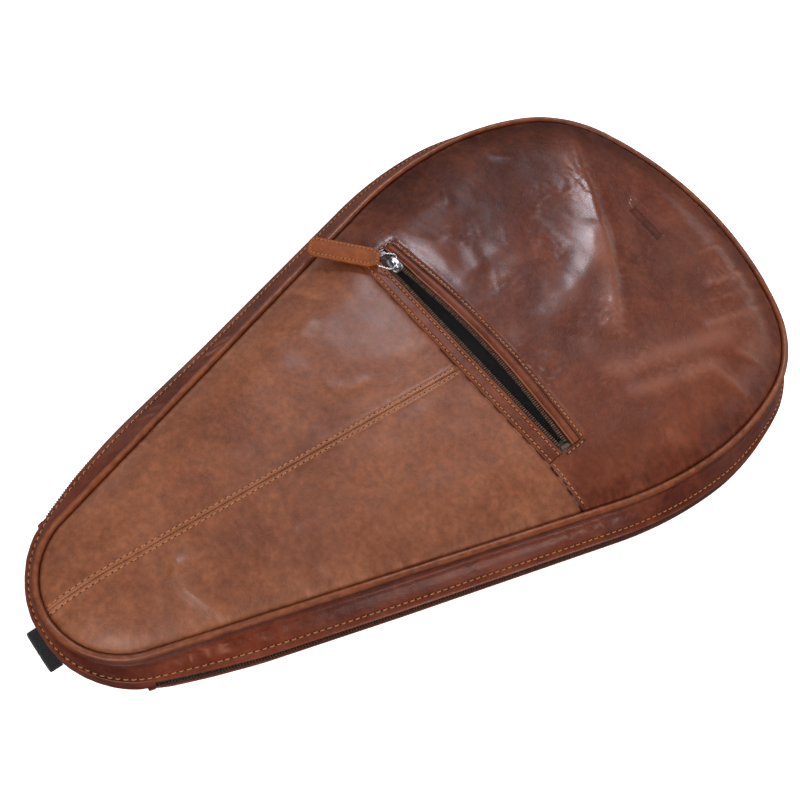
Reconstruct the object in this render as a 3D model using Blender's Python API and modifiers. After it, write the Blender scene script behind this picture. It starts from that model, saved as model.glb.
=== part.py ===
# Padel racket case: a teardrop leather clamshell that lies on its back.
# Frame: metres, front face up (+Z), wide head end towards +Y, +X to the right seen from the front.
# Origin: middle of the flat back face; the case rests on z = 0.
import math
from collections import namedtuple

import bmesh
import bpy
import numpy as np
from mathutils import Matrix, Vector

MM = 0.001
UP = Vector((0, 0, 1))

# ------------------------------------------------------------------ driving dimensions
LENGTH = 518 * MM            # tip to head, over the piping line
TIP_R = 48 * MM              # round of the narrow end
FLANK = math.radians(17.2)   # angle of the straight flanks to the long axis
SIDE_R = 280 * MM            # arc that turns the flank parallel to the axis
Y_WIDEST = 128 * MM          # widest station
UPPER_R = 200 * MM           # arc above the widest station
UPPER_SWEEP = math.radians(19)
SHOULDER_R = 80 * MM         # shoulders of the head end

Z_FRONT = 45 * MM            # plane of the front piping
Z_ZIP = 22 * MM              # plane where the two halves part
Z_BACK = 5 * MM              # plane of the back piping
CORD_R = 1.9 * MM            # piping cord radius
LEATHER = 1.6 * MM
GAP = 0.3 * MM               # between neighbouring front panels
Z_RIM = Z_FRONT - 0.5 * MM   # rim of the front panels
DOME = 11.5 * MM             # crown of the front panels above their rim
TOP = Z_RIM + DOME
SHOULDER_W = 45 * MM         # width of the crown's shoulder
CROWN_POWER = 2.2
PANEL_INSET = 2.3 * MM       # front panels inside the piping line
PANEL_GRID = 30 * MM
GRID_MARGIN = 2 * MM         # no grid line this close to a panel's extremes

# Splay of the zip line outside the piping line: (outline joint, splay in mm).
# Joints count the outline's arcs from 0 at the tip to 6 at the head.
SPLAY = np.array([
    (0, 5), (0.5, 7.5), (0.9, 11.5), (1.0, 13), (1.1, 16.5), (1.2, 18.5), (1.5, 18.5),
    (2, 16.5), (3, 16), (4, 12.5), (4.5, 8), (5, 3.5), (6, 3.5)]) * (1, MM)
# Extra splay on the left, where the case slumps a little: (outline joint, extra in mm).
SLUMP = np.array([
    (0, 0), (0.5, 1), (0.9, 2.5), (1.1, 5), (1.25, 4.5), (1.5, 1.5), (2, 1.5),
    (3, 2), (4, 1.5), (6, 0)]) * (1, MM)
HEAD_JOINT = 6
ZIP_FROM = 1.0               # joint where the chain starts: tip round meets flank
TIP_UNTIL = 0.9              # joint where the plain tip leather ends
WALL_MARGIN = 2 * MM         # the gusset bulge starts this far from each piping plane
WALL_POWER = 0.85            # shape of the gusset bulge
GUSSET_MARGIN = 2.4 * MM     # gusset leather stops this far from each piping plane

# zip round the case; z distances are counted from the zip line
CHAIN_HALF_H = 2.3 * MM
TEETH_GAP = 0.2 * MM
TEETH_SHARE = 0.95           # share of the splay at the teeth
TEETH_OUT = 0.9 * MM
TEETH_T = 1.9 * MM
TAPE_HEIGHTS = (0.9 * MM, 5 * MM, 9 * MM)   # the gusset leather stops at the middle one
TAPE_BEHIND = LEATHER + 0.9 * MM
TAPE_T = 0.7 * MM

# pocket, in its own frame: u along the cross seam, v towards the head
POCKET_TURN = math.radians(3.1)
POCKET_Y = 18.5 * MM
POCKET_HALF = 88 * MM
BAND_HALF = POCKET_HALF - 0.4 * MM
PLACKET_V = 12 * MM
LIP_V = 27.5 * MM            # upper seam of the pocket window at its ends
LIP_ARCH = 7 * MM            # how far the open lip arches towards the head

# centre seam of the two lower panels
SEAM_TIP_X = -4 * MM
SEAM_HEAD_X = 7 * MM

MATERIALS = {
    # name: (base colour, roughness, metallic)
    "leather_dark": ((0.16, 0.055, 0.025), 0.38, 0.0),
    "leather_tan": ((0.25, 0.10, 0.045), 0.45, 0.0),
    "leather_tab": ((0.36, 0.15, 0.06), 0.5, 0.0),
    "piping": ((0.20, 0.075, 0.03), 0.4, 0.0),
    "tape": ((0.035, 0.02, 0.014), 0.85, 0.0),
    "teeth": ((0.10, 0.06, 0.035), 0.35, 0.8),
    "steel": ((0.62, 0.62, 0.63), 0.25, 1.0),
    "lining": ((0.02, 0.02, 0.022), 0.9, 0.0),
    "foam": ((0.25, 0.25, 0.25), 0.95, 0.0),
    "webbing": ((0.012, 0.012, 0.014), 0.8, 0.0),
}
SHARP_ANGLE = math.radians(35)

for old in list(bpy.data.objects):
    bpy.data.objects.remove(old, do_unlink=True)

parts = bpy.data.collections.new("padel_racket_case")
cutters = bpy.data.collections.new("cutters")
bpy.context.scene.collection.children.link(parts)
bpy.context.scene.collection.children.link(cutters)


# ------------------------------------------------------------------ objects and modifiers
def finish(obj, look, smooth=False):
    """Give the object its own material; smooth it between sharp edges if asked."""
    colour, roughness, metallic = MATERIALS[look]
    material = bpy.data.materials.new(obj.name + "_mat")
    material.use_nodes = True
    shader = material.node_tree.nodes["Principled BSDF"]
    shader.inputs["Base Color"].default_value = (*colour, 1.0)
    shader.inputs["Roughness"].default_value = roughness
    shader.inputs["Metallic"].default_value = metallic
    material.diffuse_color = (*colour, 1.0)
    obj.data.materials.append(material)
    if smooth:
        obj.data.shade_smooth()
        obj.data.set_sharp_from_angle(angle=SHARP_ANGLE)


def mesh_object(name, shape, collection=parts):
    mesh = bpy.data.meshes.new(name)
    shape.to_mesh(mesh)
    shape.free()
    obj = bpy.data.objects.new(name, mesh)
    collection.objects.link(obj)
    return obj


def solidify(obj, thickness, offset=-1.0):
    modifier = obj.modifiers.new("Solidify", "SOLIDIFY")
    modifier.thickness = thickness
    modifier.offset = offset


def boolean(obj, cutter, operation="DIFFERENCE"):
    modifier = obj.modifiers.new("Boolean", "BOOLEAN")
    modifier.operation = operation
    modifier.object = cutter
    cutter.hide_render = True
    cutter.display_type = "WIRE"


# ------------------------------------------------------------------ outline of tangent arcs
# nx, ny: outward normal; joint: place along the outline, counted in arcs
Station = namedtuple("Station", "x y nx ny joint")


def half_outline():
    """Right half, tip to head, with the radius and centre y of the head cap."""
    stations = []

    def add(x, y, angle, joint):
        stations.append(Station(x, y, math.cos(angle), math.sin(angle), joint))

    def arc(cx, cy, radius, start, end, steps, joint):
        for i in range(steps):
            t = i / steps
            angle = start + (end - start) * t
            add(cx + radius * math.cos(angle), cy + radius * math.sin(angle), angle, joint + t)

    tip_y = -LENGTH / 2 + TIP_R
    arc(0.0, tip_y, TIP_R, -math.pi / 2, -FLANK, 7, 0)
    x0 = TIP_R * math.cos(FLANK)
    y0 = tip_y - TIP_R * math.sin(FLANK)
    y1 = Y_WIDEST - SIDE_R * math.sin(FLANK)
    x1 = x0 + (y1 - y0) * math.tan(FLANK)
    for i in range(7):
        t = i / 7
        add(x0 + (x1 - x0) * t, y0 + (y1 - y0) * t, -FLANK, 1 + t)
    x_widest = x1 + SIDE_R * (1 - math.cos(FLANK))
    arc(x_widest - SIDE_R, Y_WIDEST, SIDE_R, -FLANK, 0.0, 4, 2)
    arc(x_widest - UPPER_R, Y_WIDEST, UPPER_R, 0.0, UPPER_SWEEP, 3, 3)
    # shoulder, then the head cap that closes the outline on the axis
    shoulder_x = x_widest - UPPER_R + (UPPER_R - SHOULDER_R) * math.cos(UPPER_SWEEP)
    shoulder_y = Y_WIDEST + (UPPER_R - SHOULDER_R) * math.sin(UPPER_SWEEP)
    rise = shoulder_y - LENGTH / 2
    cap_r = (SHOULDER_R ** 2 - shoulder_x ** 2 - rise ** 2) / (2 * (rise + SHOULDER_R))
    cap_y = LENGTH / 2 - cap_r
    cap_start = math.atan2(shoulder_y - cap_y, shoulder_x)
    arc(shoulder_x, shoulder_y, SHOULDER_R, UPPER_SWEEP, cap_start, 6, 4)
    arc(0.0, cap_y, cap_r, cap_start, math.pi / 2, 4, 5)
    add(0.0, LENGTH / 2, math.pi / 2, HEAD_JOINT)
    return stations, cap_r, cap_y


RIGHT, CAP_R, CAP_Y = half_outline()
LEFT = [s._replace(x=-s.x, nx=-s.nx) for s in reversed(RIGHT[1:-1])]
RING = RIGHT + LEFT                      # counter-clockwise, starting at the tip
CHAIN = [s for s in RING if s.joint >= ZIP_FROM - 1e-9]
TIP = [s for s in LEFT + RIGHT if s.joint < TIP_UNTIL]
RING_XY = np.array([(s.x, s.y) for s in RING])


def splay(joint, x=1.0):
    """Full splay at a joint; negative x takes the slumped left side."""
    value = float(np.interp(joint, SPLAY[:, 0], SPLAY[:, 1]))
    if x < 0:
        value += float(np.interp(joint, SLUMP[:, 0], SLUMP[:, 1]))
    return value


def shifted(station, offset, z):
    return Vector((station.x + station.nx * offset, station.y + station.ny * offset, z))


def outline_row(z, offset=0.0):
    """Points round the case at a fixed offset from the piping line."""
    return [shifted(s, offset, z) for s in RING]


def wall_row(z, stations=RING, share=None, out=0.0, behind=0.0):
    """Points on the gusset wall at height z.

    share: share of the full splay, by default the bulge's own at z.
    behind: how far the row lies behind the wall, measured square to the leaning wall.
    """
    run = (Z_FRONT - Z_ZIP if z > Z_ZIP else Z_ZIP - Z_BACK) - WALL_MARGIN
    if share is None:
        share = max(0.0, 1 - abs(z - Z_ZIP) / run) ** WALL_POWER
    row = []
    for s in stations:
        full = splay(s.joint, s.x)
        row.append(shifted(s, full * share + out - behind * math.hypot(1, full / run), z))
    return row


def offset_outline(offset, step=1):
    return [(p.x, p.y) for p in outline_row(0.0, offset)][::step]


def rim_distance(x, y):
    """Distance from a point inside the outline to the outline."""
    side = np.roll(RING_XY, -1, axis=0) - RING_XY
    point = np.array((x, y))
    t = np.clip(((point - RING_XY) * side).sum(1) / (side * side).sum(1), 0, 1)
    return float(np.sqrt(((RING_XY + side * t[:, None] - point) ** 2).sum(1)).min())


def crown(x, y):
    """Height of the domed front at (x, y)."""
    t = min(rim_distance(x, y) / SHOULDER_W, 1.0)
    return Z_RIM + DOME * (1 - (1 - t) ** CROWN_POWER)


# ------------------------------------------------------------------ shape helpers
def skin(rows, closed=False, reverse=False):
    """Bmesh of quads between rows of points; also returns its rows of vertices."""
    shape = bmesh.new()
    verts = [[shape.verts.new(p) for p in row] for row in rows]
    count = len(rows[0])
    for a, b in zip(verts, verts[1:]):
        for i in range(count if closed else count - 1):
            j = (i + 1) % count
            if reverse:
                shape.faces.new((a[i], b[i], b[j], a[j]))
            else:
                shape.faces.new((a[i], a[j], b[j], b[i]))
    return shape, verts


def strip(name, rows, thickness, look, closed=False, offset=-1.0):
    """A leather or tape strip: an open surface through rows of points, thickened."""
    shape, _ = skin(rows, closed)
    bmesh.ops.recalc_face_normals(shape, faces=shape.faces)
    shape.normal_update()
    # faces look away from the origin
    if sum(f.normal.dot(f.calc_center_median()) for f in shape.faces) < 0:
        bmesh.ops.reverse_faces(shape, faces=shape.faces)
    obj = mesh_object(name, shape)
    solidify(obj, thickness, offset)
    finish(obj, look, smooth=True)


def cord(name, points, radius, look, resolution=1):
    """A closed loop of piping or wire: a poly curve with a round bevel."""
    curve = bpy.data.curves.new(name, "CURVE")
    curve.dimensions = "3D"
    curve.bevel_depth = radius
    curve.bevel_resolution = resolution
    curve.use_fill_caps = True
    curve.resolution_u = 1
    spline = curve.splines.new("POLY")
    spline.points.add(len(points) - 1)
    for target, point in zip(spline.points, points):
        target.co = (*point, 1.0)
    spline.use_cyclic_u = True
    obj = bpy.data.objects.new(name, curve)
    parts.objects.link(obj)
    finish(obj, look)


def flat_sheet(name, outline, z_top, thickness, look):
    shape = bmesh.new()
    shape.faces.new([shape.verts.new((x, y, z_top)) for x, y in outline])
    obj = mesh_object(name, shape)
    solidify(obj, thickness)
    finish(obj, look)


def bisect(shape, point, normal, clear=False):
    """Cut by a plane; clear removes the side the normal points away from."""
    geometry = shape.verts[:] + shape.edges[:] + shape.faces[:]
    bmesh.ops.bisect_plane(shape, geom=geometry, plane_co=point, plane_no=normal,
                           clear_inner=clear, dist=1e-6)


def front_panel(name, look, cuts):
    """Domed panel: the part of the front on the normal's side of each (point, normal) cut."""
    shape = bmesh.new()
    shape.faces.new([shape.verts.new((x, y, 0.0)) for x, y in offset_outline(-PANEL_INSET)])
    for point, normal in cuts:
        bisect(shape, point, normal, clear=True)
    extents = [[v.co[axis] for v in shape.verts] for axis in (0, 1)]
    for axis, values in enumerate(extents):
        low, high = min(values), max(values)
        k = math.ceil(low / PANEL_GRID)
        while k * PANEL_GRID < high:
            place = k * PANEL_GRID
            if place - low > GRID_MARGIN and high - place > GRID_MARGIN:
                point, normal = Vector(), Vector()
                point[axis] = place
                normal[axis] = 1.0
                bisect(shape, point, normal)
            k += 1
    shape.normal_update()
    bmesh.ops.triangulate(shape, faces=shape.faces)
    for v in shape.verts:
        v.co.z = crown(v.co.x, v.co.y)
    obj = mesh_object(name, shape)
    solidify(obj, LEATHER)
    finish(obj, look, smooth=True)
    return obj


def prism(name, outline, z0, z1, collection=parts):
    """A straight-sided solid over an outline given counter-clockwise."""
    shape = bmesh.new()
    base = shape.faces.new([shape.verts.new((x, y, z0)) for x, y in outline])
    if base.normal.z > 0:
        base.normal_flip()
    shape.normal_update()
    extruded = bmesh.ops.extrude_face_region(shape, geom=[base])["geom"]
    top = [g for g in extruded if isinstance(g, bmesh.types.BMVert)]
    bmesh.ops.translate(shape, verts=top, vec=(0, 0, z1 - z0))
    # close the bottom if the extrusion took its face along
    if not any(f.normal.z < -0.5 for f in shape.faces):
        bmesh.ops.contextual_create(shape, geom=[e for e in shape.edges if e.is_boundary])
    bmesh.ops.recalc_face_normals(shape, faces=shape.faces)
    return mesh_object(name, shape, collection)


def block_cutter(name, size, z_middle):
    shape = bmesh.new()
    bmesh.ops.create_cube(shape, size=1.0)
    bmesh.ops.scale(shape, vec=size, verts=shape.verts)
    bmesh.ops.translate(shape, vec=(0, 0, z_middle), verts=shape.verts)
    return mesh_object(name, shape, cutters)


def arc_points(cx, cy, radius, start, end, steps):
    """Points on an arc, both ends included; angles in degrees."""
    angles = [math.radians(start + (end - start) * i / steps) for i in range(steps + 1)]
    return [(cx + radius * math.cos(a), cy + radius * math.sin(a)) for a in angles]


def rounded(width, height, radius, steps):
    """Rounded rectangle about the origin, counter-clockwise from its lower right corner."""
    x, y = width / 2 - radius, height / 2 - radius
    points = []
    for cx, cy, start in ((x, -y, -90), (x, y, 0), (-x, y, 90), (-x, -y, 180)):
        points += arc_points(cx, cy, radius, start, start + 90, steps)
    return points


# ------------------------------------------------------------------ both halves of the shell
def shell_half(name, side, z_piping, z_middle):
    """Piping, gusset and zip half. side: -1 below the zip line, 1 above it."""
    def down(heights):
        return sorted(heights, reverse=True)

    cord(name + "_piping", outline_row(z_piping), CORD_R, "piping")
    gusset = down((Z_ZIP + side * TAPE_HEIGHTS[1], z_middle, z_piping - side * GUSSET_MARGIN))
    strip(name + "_gusset", [wall_row(z) for z in gusset], LEATHER, "leather_dark", closed=True)
    tape = down(Z_ZIP + side * h for h in TAPE_HEIGHTS)
    strip(name + "_zip_tape", [wall_row(z, CHAIN, behind=TAPE_BEHIND) for z in tape],
          TAPE_T, "tape")
    teeth = down(Z_ZIP + side * h for h in (TEETH_GAP, CHAIN_HALF_H))
    strip(name + "_zip_teeth",
          [wall_row(z, CHAIN, share=TEETH_SHARE, out=TEETH_OUT) for z in teeth],
          TEETH_T, "teeth")


shell_half("back", -1, Z_BACK, 12 * MM)
shell_half("front", 1, Z_FRONT, 35 * MM)

INNER_SHEETS = (
    # name, inset from the piping line, top z, thickness, material
    ("back_padding", 12 * MM, 5.1 * MM, 2.5 * MM, "foam"),
    ("back_lining", 8 * MM, 6.0 * MM, 0.6 * MM, "lining"),
    ("front_padding", 7 * MM, 44.7 * MM, 2.5 * MM, "foam"),
    ("front_lining", 5 * MM, 41.9 * MM, 0.5 * MM, "lining"),
)
for name, inset, z_top, thickness, look in INNER_SHEETS:
    flat_sheet(name, offset_outline(-inset, step=2), z_top, thickness, look)


# ------------------------------------------------------------------ back half
def back_panel():
    """Flat centre with its edge rolled up to the piping."""
    profile = ((Z_BACK - 1.0 * MM, -2.4 * MM), (0.9 * MM, -6 * MM), (0.0, -14 * MM))
    rows = [outline_row(z, offset) for z, offset in profile]
    shape, verts = skin(rows, closed=True, reverse=True)
    shape.faces.new(verts[-1][::-1])
    obj = mesh_object("back_panel", shape)
    solidify(obj, 1.8 * MM)
    finish(obj, "leather_tan")


def tip_gusset():
    """Plain leather over the tip, below the zip line: the fold of the clamshell."""
    heights = (Z_ZIP - 0.4 * MM, 15 * MM, 9 * MM)
    strip("tip_gusset", [wall_row(z, TIP, behind=-1.65 * MM) for z in heights],
          1.2 * MM, "leather_dark")


WEBBING_T = 1.3 * MM
WEBBING_START = LENGTH / 2 + 2.4 * MM    # distance of the seam end from the origin, along y


def webbing_loop(name, end, width, reach, x_middle, z_bottom):
    """Folded strip with two plies, open at the seam. end: -1 at the tip, 1 at the head."""
    z_upper = z_bottom + 2.5 * WEBBING_T
    z_lower = z_bottom + 0.5 * WEBBING_T
    profile = [(0.0, z_upper), (reach * 0.5, z_upper)]
    profile += arc_points(reach - 1.5 * WEBBING_T, (z_upper + z_lower) / 2, WEBBING_T,
                          90, -90, 6)
    profile += [(reach * 0.5, z_lower), (reach * 0.12, z_lower)]
    rows = [[(x_middle + side * width / 2, end * (WEBBING_START + p), z) for p, z in profile]
            for side in (-1, 1)]
    shape, _ = skin(rows, reverse=True)
    bmesh.ops.recalc_face_normals(shape, faces=shape.faces)
    obj = mesh_object(name, shape)
    solidify(obj, WEBBING_T, 0.0)
    finish(obj, "webbing", smooth=True)


def zip_end(name, side):
    """Stop below the start of the chain on one flank. side: -1 left, 1 right."""
    start = CHAIN[0]
    offset = 0.9 * splay(start.joint, side) - 0.5 * MM
    along = Vector((math.sin(FLANK), math.cos(FLANK), 0))
    place = shifted(start, offset, Z_ZIP) - along * 3.2 * MM
    place.x *= side
    obj = prism(name, rounded(4.4 * MM, 2.4 * MM, 0.8 * MM, 2), -3.0 * MM, -0.2 * MM)
    obj.location = place
    obj.rotation_euler = (0, 0, math.radians(90) - FLANK * side)
    finish(obj, "teeth")


back_panel()
tip_gusset()
webbing_loop("tip_webbing_loop", -1, width=26 * MM, reach=9 * MM,
             x_middle=-1 * MM, z_bottom=0.4 * MM)
webbing_loop("head_webbing_loop", 1, width=10 * MM, reach=38 * MM,
             x_middle=-9.5 * MM, z_bottom=0.6 * MM)
zip_end("zip_end_right", 1)
zip_end("zip_end_left", -1)

# ------------------------------------------------------------------ front panels
POCKET_U = Vector((math.cos(POCKET_TURN), math.sin(POCKET_TURN), 0))
POCKET_V = Vector((-math.sin(POCKET_TURN), math.cos(POCKET_TURN), 0))
POCKET_ORIGIN = Vector((0, POCKET_Y, 0))
POCKET = Matrix.Translation(POCKET_ORIGIN) @ Matrix.Rotation(POCKET_TURN, 4, "Z")

SEAM_TIP = Vector((SEAM_TIP_X, -LENGTH / 2, 0))
SEAM_RISE = POCKET_Y + LENGTH / 2
SEAM_DIR = Vector((SEAM_HEAD_X - SEAM_TIP_X, SEAM_RISE, 0)).normalized()
SEAM_RIGHT = Vector((SEAM_DIR.y, -SEAM_DIR.x, 0))


def seam_cut(seam, towards):
    """Cut half a gap from the seam, keeping the side that towards points to."""
    return seam + towards * GAP / 2, towards


def centre_seam_tape():
    """Tape behind the centre seam."""
    rows = []
    for i in range(9):
        along = 18 * MM + i / 8 * (SEAM_RISE - 34 * MM)
        row = []
        for across in (-7 * MM, 7 * MM):
            point = SEAM_TIP + SEAM_DIR * along + SEAM_RIGHT * across
            point.z = crown(point.x, point.y) - LEATHER - 1.7 * MM
            row.append(point)
        rows.append(row)
    strip("centre_seam_tape", rows, 0.5 * MM, "tape", offset=0.0)


below_pocket_seam = seam_cut(POCKET_ORIGIN, -POCKET_V)
front_panel("lower_left_panel", "leather_tan",
            [below_pocket_seam, seam_cut(SEAM_TIP, -SEAM_RIGHT)])
front_panel("lower_right_panel", "leather_tan",
            [below_pocket_seam, seam_cut(SEAM_TIP, SEAM_RIGHT)])
upper_panel = front_panel("upper_front_panel", "leather_dark",
                          [seam_cut(POCKET_ORIGIN, POCKET_V)])
centre_seam_tape()


# ------------------------------------------------------------------ pocket
def lip(u):
    """v of the pocket window's upper seam: straight at its ends, arched between them."""
    return LIP_V + LIP_ARCH * max(0.0, math.cos(math.pi * u / (2 * POCKET_HALF)))


def lip_cutter(name, half, v_low, lip_offset, steps, z0, z1):
    """Prism between the line v = v_low and a line that follows the lip."""
    outline = [(-half, v_low), (half, v_low)]
    for i in range(steps + 1):
        u = half * (1 - 2 * i / steps)
        outline.append((u, lip(u) + lip_offset))
    obj = prism(name, outline, z0, z1, cutters)
    obj.matrix_world = POCKET
    return obj


def pocket_band(name, on_lip, low, high, z_top, thickness, half, look):
    """Flat band between two v edges; on_lip counts them from the arched lip."""
    steps = 12 if on_lip else 1
    us = [half * (2 * i / steps - 1) for i in range(steps + 1)]
    rows = [[(u, edge + (lip(u) if on_lip else 0.0), z_top) for u in us] for edge in (low, high)]
    shape, _ = skin(rows)
    obj = mesh_object(name, shape)
    obj.matrix_world = POCKET
    solidify(obj, thickness)
    finish(obj, look)


def pocket_stop(name, side):
    obj = prism(name, rounded(2.6 * MM, 6.2 * MM, 0.8 * MM, 2), TOP - 0.9 * MM, TOP + 0.7 * MM)
    place = (side * (BAND_HALF - 1.9 * MM), PLACKET_V + 4.0 * MM, 0)
    obj.matrix_world = POCKET @ Matrix.Translation(place)
    finish(obj, "steel")


def pocket_bag():
    """Box of lining under the upper panel, without its wall on the tip side."""
    half = 80 * MM
    v_low, v_high = PLACKET_V + 2.2 * MM, 118 * MM
    z_low, z_high = 45.3 * MM, TOP - 2.8 * MM
    shape = bmesh.new()
    bmesh.ops.create_cube(shape, size=1.0)
    for v in shape.verts:
        v.co.x *= 2 * half
        v.co.y = v_low if v.co.y < 0 else v_high
        v.co.z = z_low if v.co.z < 0 else z_high
    open_side = [f for f in shape.faces if f.calc_center_median().y < v_low + 1 * MM]
    bmesh.ops.delete(shape, geom=open_side, context="FACES")
    bag = mesh_object("pocket_bag", shape)
    bag.matrix_world = POCKET
    solidify(bag, 0.5 * MM)
    finish(bag, "lining")
    # mouth in the bag's upper ply, below the gap between the two teeth rows
    boolean(bag, lip_cutter("pocket_mouth_cutter", half - 5 * MM, v_low - 2 * MM, -9 * MM, 8,
                            z_high - 2 * MM, z_high + 2 * MM))


TAPE_TOP = TOP - LEATHER - GAP
TEETH_TOP = TOP + 0.4 * MM
TAPE_HALF = BAND_HALF - 3 * MM
TEETH_HALF = BAND_HALF - 4 * MM
POCKET_BANDS = (
    # name, counted from the lip, low v, high v, top z, thickness, half length, material
    ("pocket_placket", False, 0.3 * MM, PLACKET_V, TOP, LEATHER, BAND_HALF, "leather_tan"),
    ("pocket_lip", True, -7.6 * MM, -0.4 * MM, TOP, LEATHER, BAND_HALF, "leather_dark"),
    ("pocket_tape_lower", False, 3 * MM, PLACKET_V + 1.6 * MM,
     TAPE_TOP, 0.6 * MM, TAPE_HALF, "tape"),
    ("pocket_tape_upper", True, -9.2 * MM, -1.5 * MM, TAPE_TOP, 0.6 * MM, TAPE_HALF, "tape"),
    ("pocket_teeth_lower", False, PLACKET_V + 0.4 * MM, PLACKET_V + 2.6 * MM,
     TEETH_TOP, 1.8 * MM, TEETH_HALF, "teeth"),
    ("pocket_teeth_upper", True, -10.3 * MM, -8.1 * MM,
     TEETH_TOP, 1.8 * MM, TEETH_HALF, "teeth"),
)

# window in the upper panel for the pocket zip
boolean(upper_panel, lip_cutter("pocket_window_cutter", POCKET_HALF, -4 * MM, 0.0, 12,
                                Z_FRONT - 6 * MM, TOP + 8 * MM))
for band in POCKET_BANDS:
    pocket_band(*band)
pocket_stop("pocket_stop_left", -1)
pocket_stop("pocket_stop_right", 1)
pocket_bag()

# ------------------------------------------------------------------ sliders and pulls
LIFT = 3.8 * MM              # pull axis above the slider's base
SLIDER_L = 11 * MM
ARCH_Z = 1.0 * MM            # bottom of the slider's arch
ARCH_H = LIFT + 1.0 * MM
LOOP_L = 11.0 * MM
WIRE_R = 0.6 * MM
BEND_R = 0.9 * MM            # corners of the wire loop
TAB_T = 2.6 * MM
TAB_CORNER = 3.5 * MM
BORE_R = 0.95 * MM


def slider(name, frame):
    """Zip slider. Frame: x along the zip, y across it, z away from the chain."""
    body = prism(name, rounded(SLIDER_L, 8.6 * MM, 2.2 * MM, 3), 0.0, 2.0 * MM)
    arch = block_cutter(name + "_arch_cutter", (SLIDER_L, 2.6 * MM, ARCH_H), ARCH_H / 2 + ARCH_Z)
    hole = block_cutter(name + "_hole_cutter", (7.8 * MM, 6 * MM, 2.6 * MM), LIFT)
    for obj in (body, arch, hole):
        obj.matrix_world = frame
    boolean(body, arch, "UNION")
    boolean(body, hole)
    finish(body, "steel")


def pull(name, frame, tab_w, tab_l, loop_w):
    """Wire loop and leather tab.

    Frame: origin on the hinge axis, x along the tab, y along the axis, z out of its top.
    """
    half_w = loop_w / 2 - WIRE_R
    bends = rounded(LOOP_L, 2 * half_w, BEND_R, 2)
    bends = bends[3:] + bends[:3]        # start at the bend of +x and +y
    cord(name + "_loop", [frame @ Vector((x + LOOP_L / 2, y, 0)) for x, y in bends],
         WIRE_R, "steel", resolution=0)

    neck = LOOP_L - 1.3 * MM
    neck_half = half_w - BEND_R - 0.1 * MM
    lower = [(neck, -neck_half), (neck + 3.2 * MM, -neck_half), (neck + 6 * MM, -tab_w / 2)]
    lower += arc_points(neck + tab_l - TAB_CORNER, -tab_w / 2 + TAB_CORNER, TAB_CORNER, -90, 0, 3)
    outline = lower + [(x, -y) for x, y in reversed(lower)]
    tab = prism(name + "_tab", outline, -TAB_T / 2, TAB_T / 2)

    # bore for the end of the wire loop
    shape = bmesh.new()
    bmesh.ops.create_cone(shape, cap_ends=True, segments=8, radius1=BORE_R, radius2=BORE_R,
                          depth=4 * loop_w)
    bmesh.ops.rotate(shape, verts=shape.verts, cent=(0, 0, 0),
                     matrix=Matrix.Rotation(math.pi / 2, 3, "X"))
    bmesh.ops.translate(shape, verts=shape.verts, vec=(LOOP_L, 0, 0))
    bore = mesh_object(name + "_bore_cutter", shape, cutters)
    tab.matrix_world = frame
    bore.matrix_world = frame
    boolean(tab, bore)
    finish(tab, "leather_tab")


def frame_of(origin, x_axis, z_hint):
    """Frame with the given x axis and its z axis as near to z_hint as possible."""
    x_axis = x_axis.normalized()
    y_axis = z_hint.cross(x_axis).normalized()
    axes = Matrix((x_axis, y_axis, x_axis.cross(y_axis))).transposed()
    return Matrix.Translation(origin) @ axes.to_4x4()


def pocket_slider():
    """Slider at the left end of the pocket zip, its pull lying over the left panel."""
    place = POCKET @ Vector((-74 * MM, PLACKET_V + 5.0 * MM, TOP + 0.8 * MM))
    slider("pocket_slider", frame_of(place, POCKET_U, UP))
    heading, dip = math.radians(223), math.radians(2.5)
    direction = Vector((math.cos(heading) * math.cos(dip),
                        math.sin(heading) * math.cos(dip),
                        -math.sin(dip)))
    # this loop is wide enough to turn beside the slider
    pull("pocket_pull", frame_of(place + UP * LIFT, direction, UP),
         tab_w=15 * MM, tab_l=47 * MM, loop_w=13.2 * MM)


def main_slider(name, side):
    """One of two sliders that meet at the middle of the head; its pull lies back along the zip."""
    zip_r = CAP_R + splay(HEAD_JOINT)
    angle = math.pi / 2 - side * (7.2 * MM / zip_r)
    out = Vector((math.cos(angle), math.sin(angle), 0))
    along = Vector((math.sin(angle), -math.cos(angle), 0)) * side
    place = Vector((0, CAP_Y, Z_ZIP)) + out * (zip_r + 1.4 * MM)
    slider("main_slider_" + name, frame_of(place, along, out))
    tilt = math.radians(10)
    direction = along * math.cos(tilt) - UP * math.sin(tilt)
    pull("main_pull_" + name, frame_of(place + out * LIFT, direction, out),
         tab_w=11 * MM, tab_l=38 * MM, loop_w=8.0 * MM)


pocket_slider()
main_slider("left", -1)
main_slider("right", 1)
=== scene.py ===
# Padel racket case lying on its back: tip towards -Y, head towards +Y, front face up (+Z).
# Builds its leather, seams, thread, zips, linings, webbing and pulls over the CAD pieces,
# then a floor, lights and a camera. Helpers work in millimetres, meshes are in metres.
from math import atan2, ceil, copysign, cos, hypot, pi, radians, sin, sqrt, tan

import bpy
import numpy as np
from mathutils import Matrix, Vector
from mathutils.geometry import delaunay_2d_cdt


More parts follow.
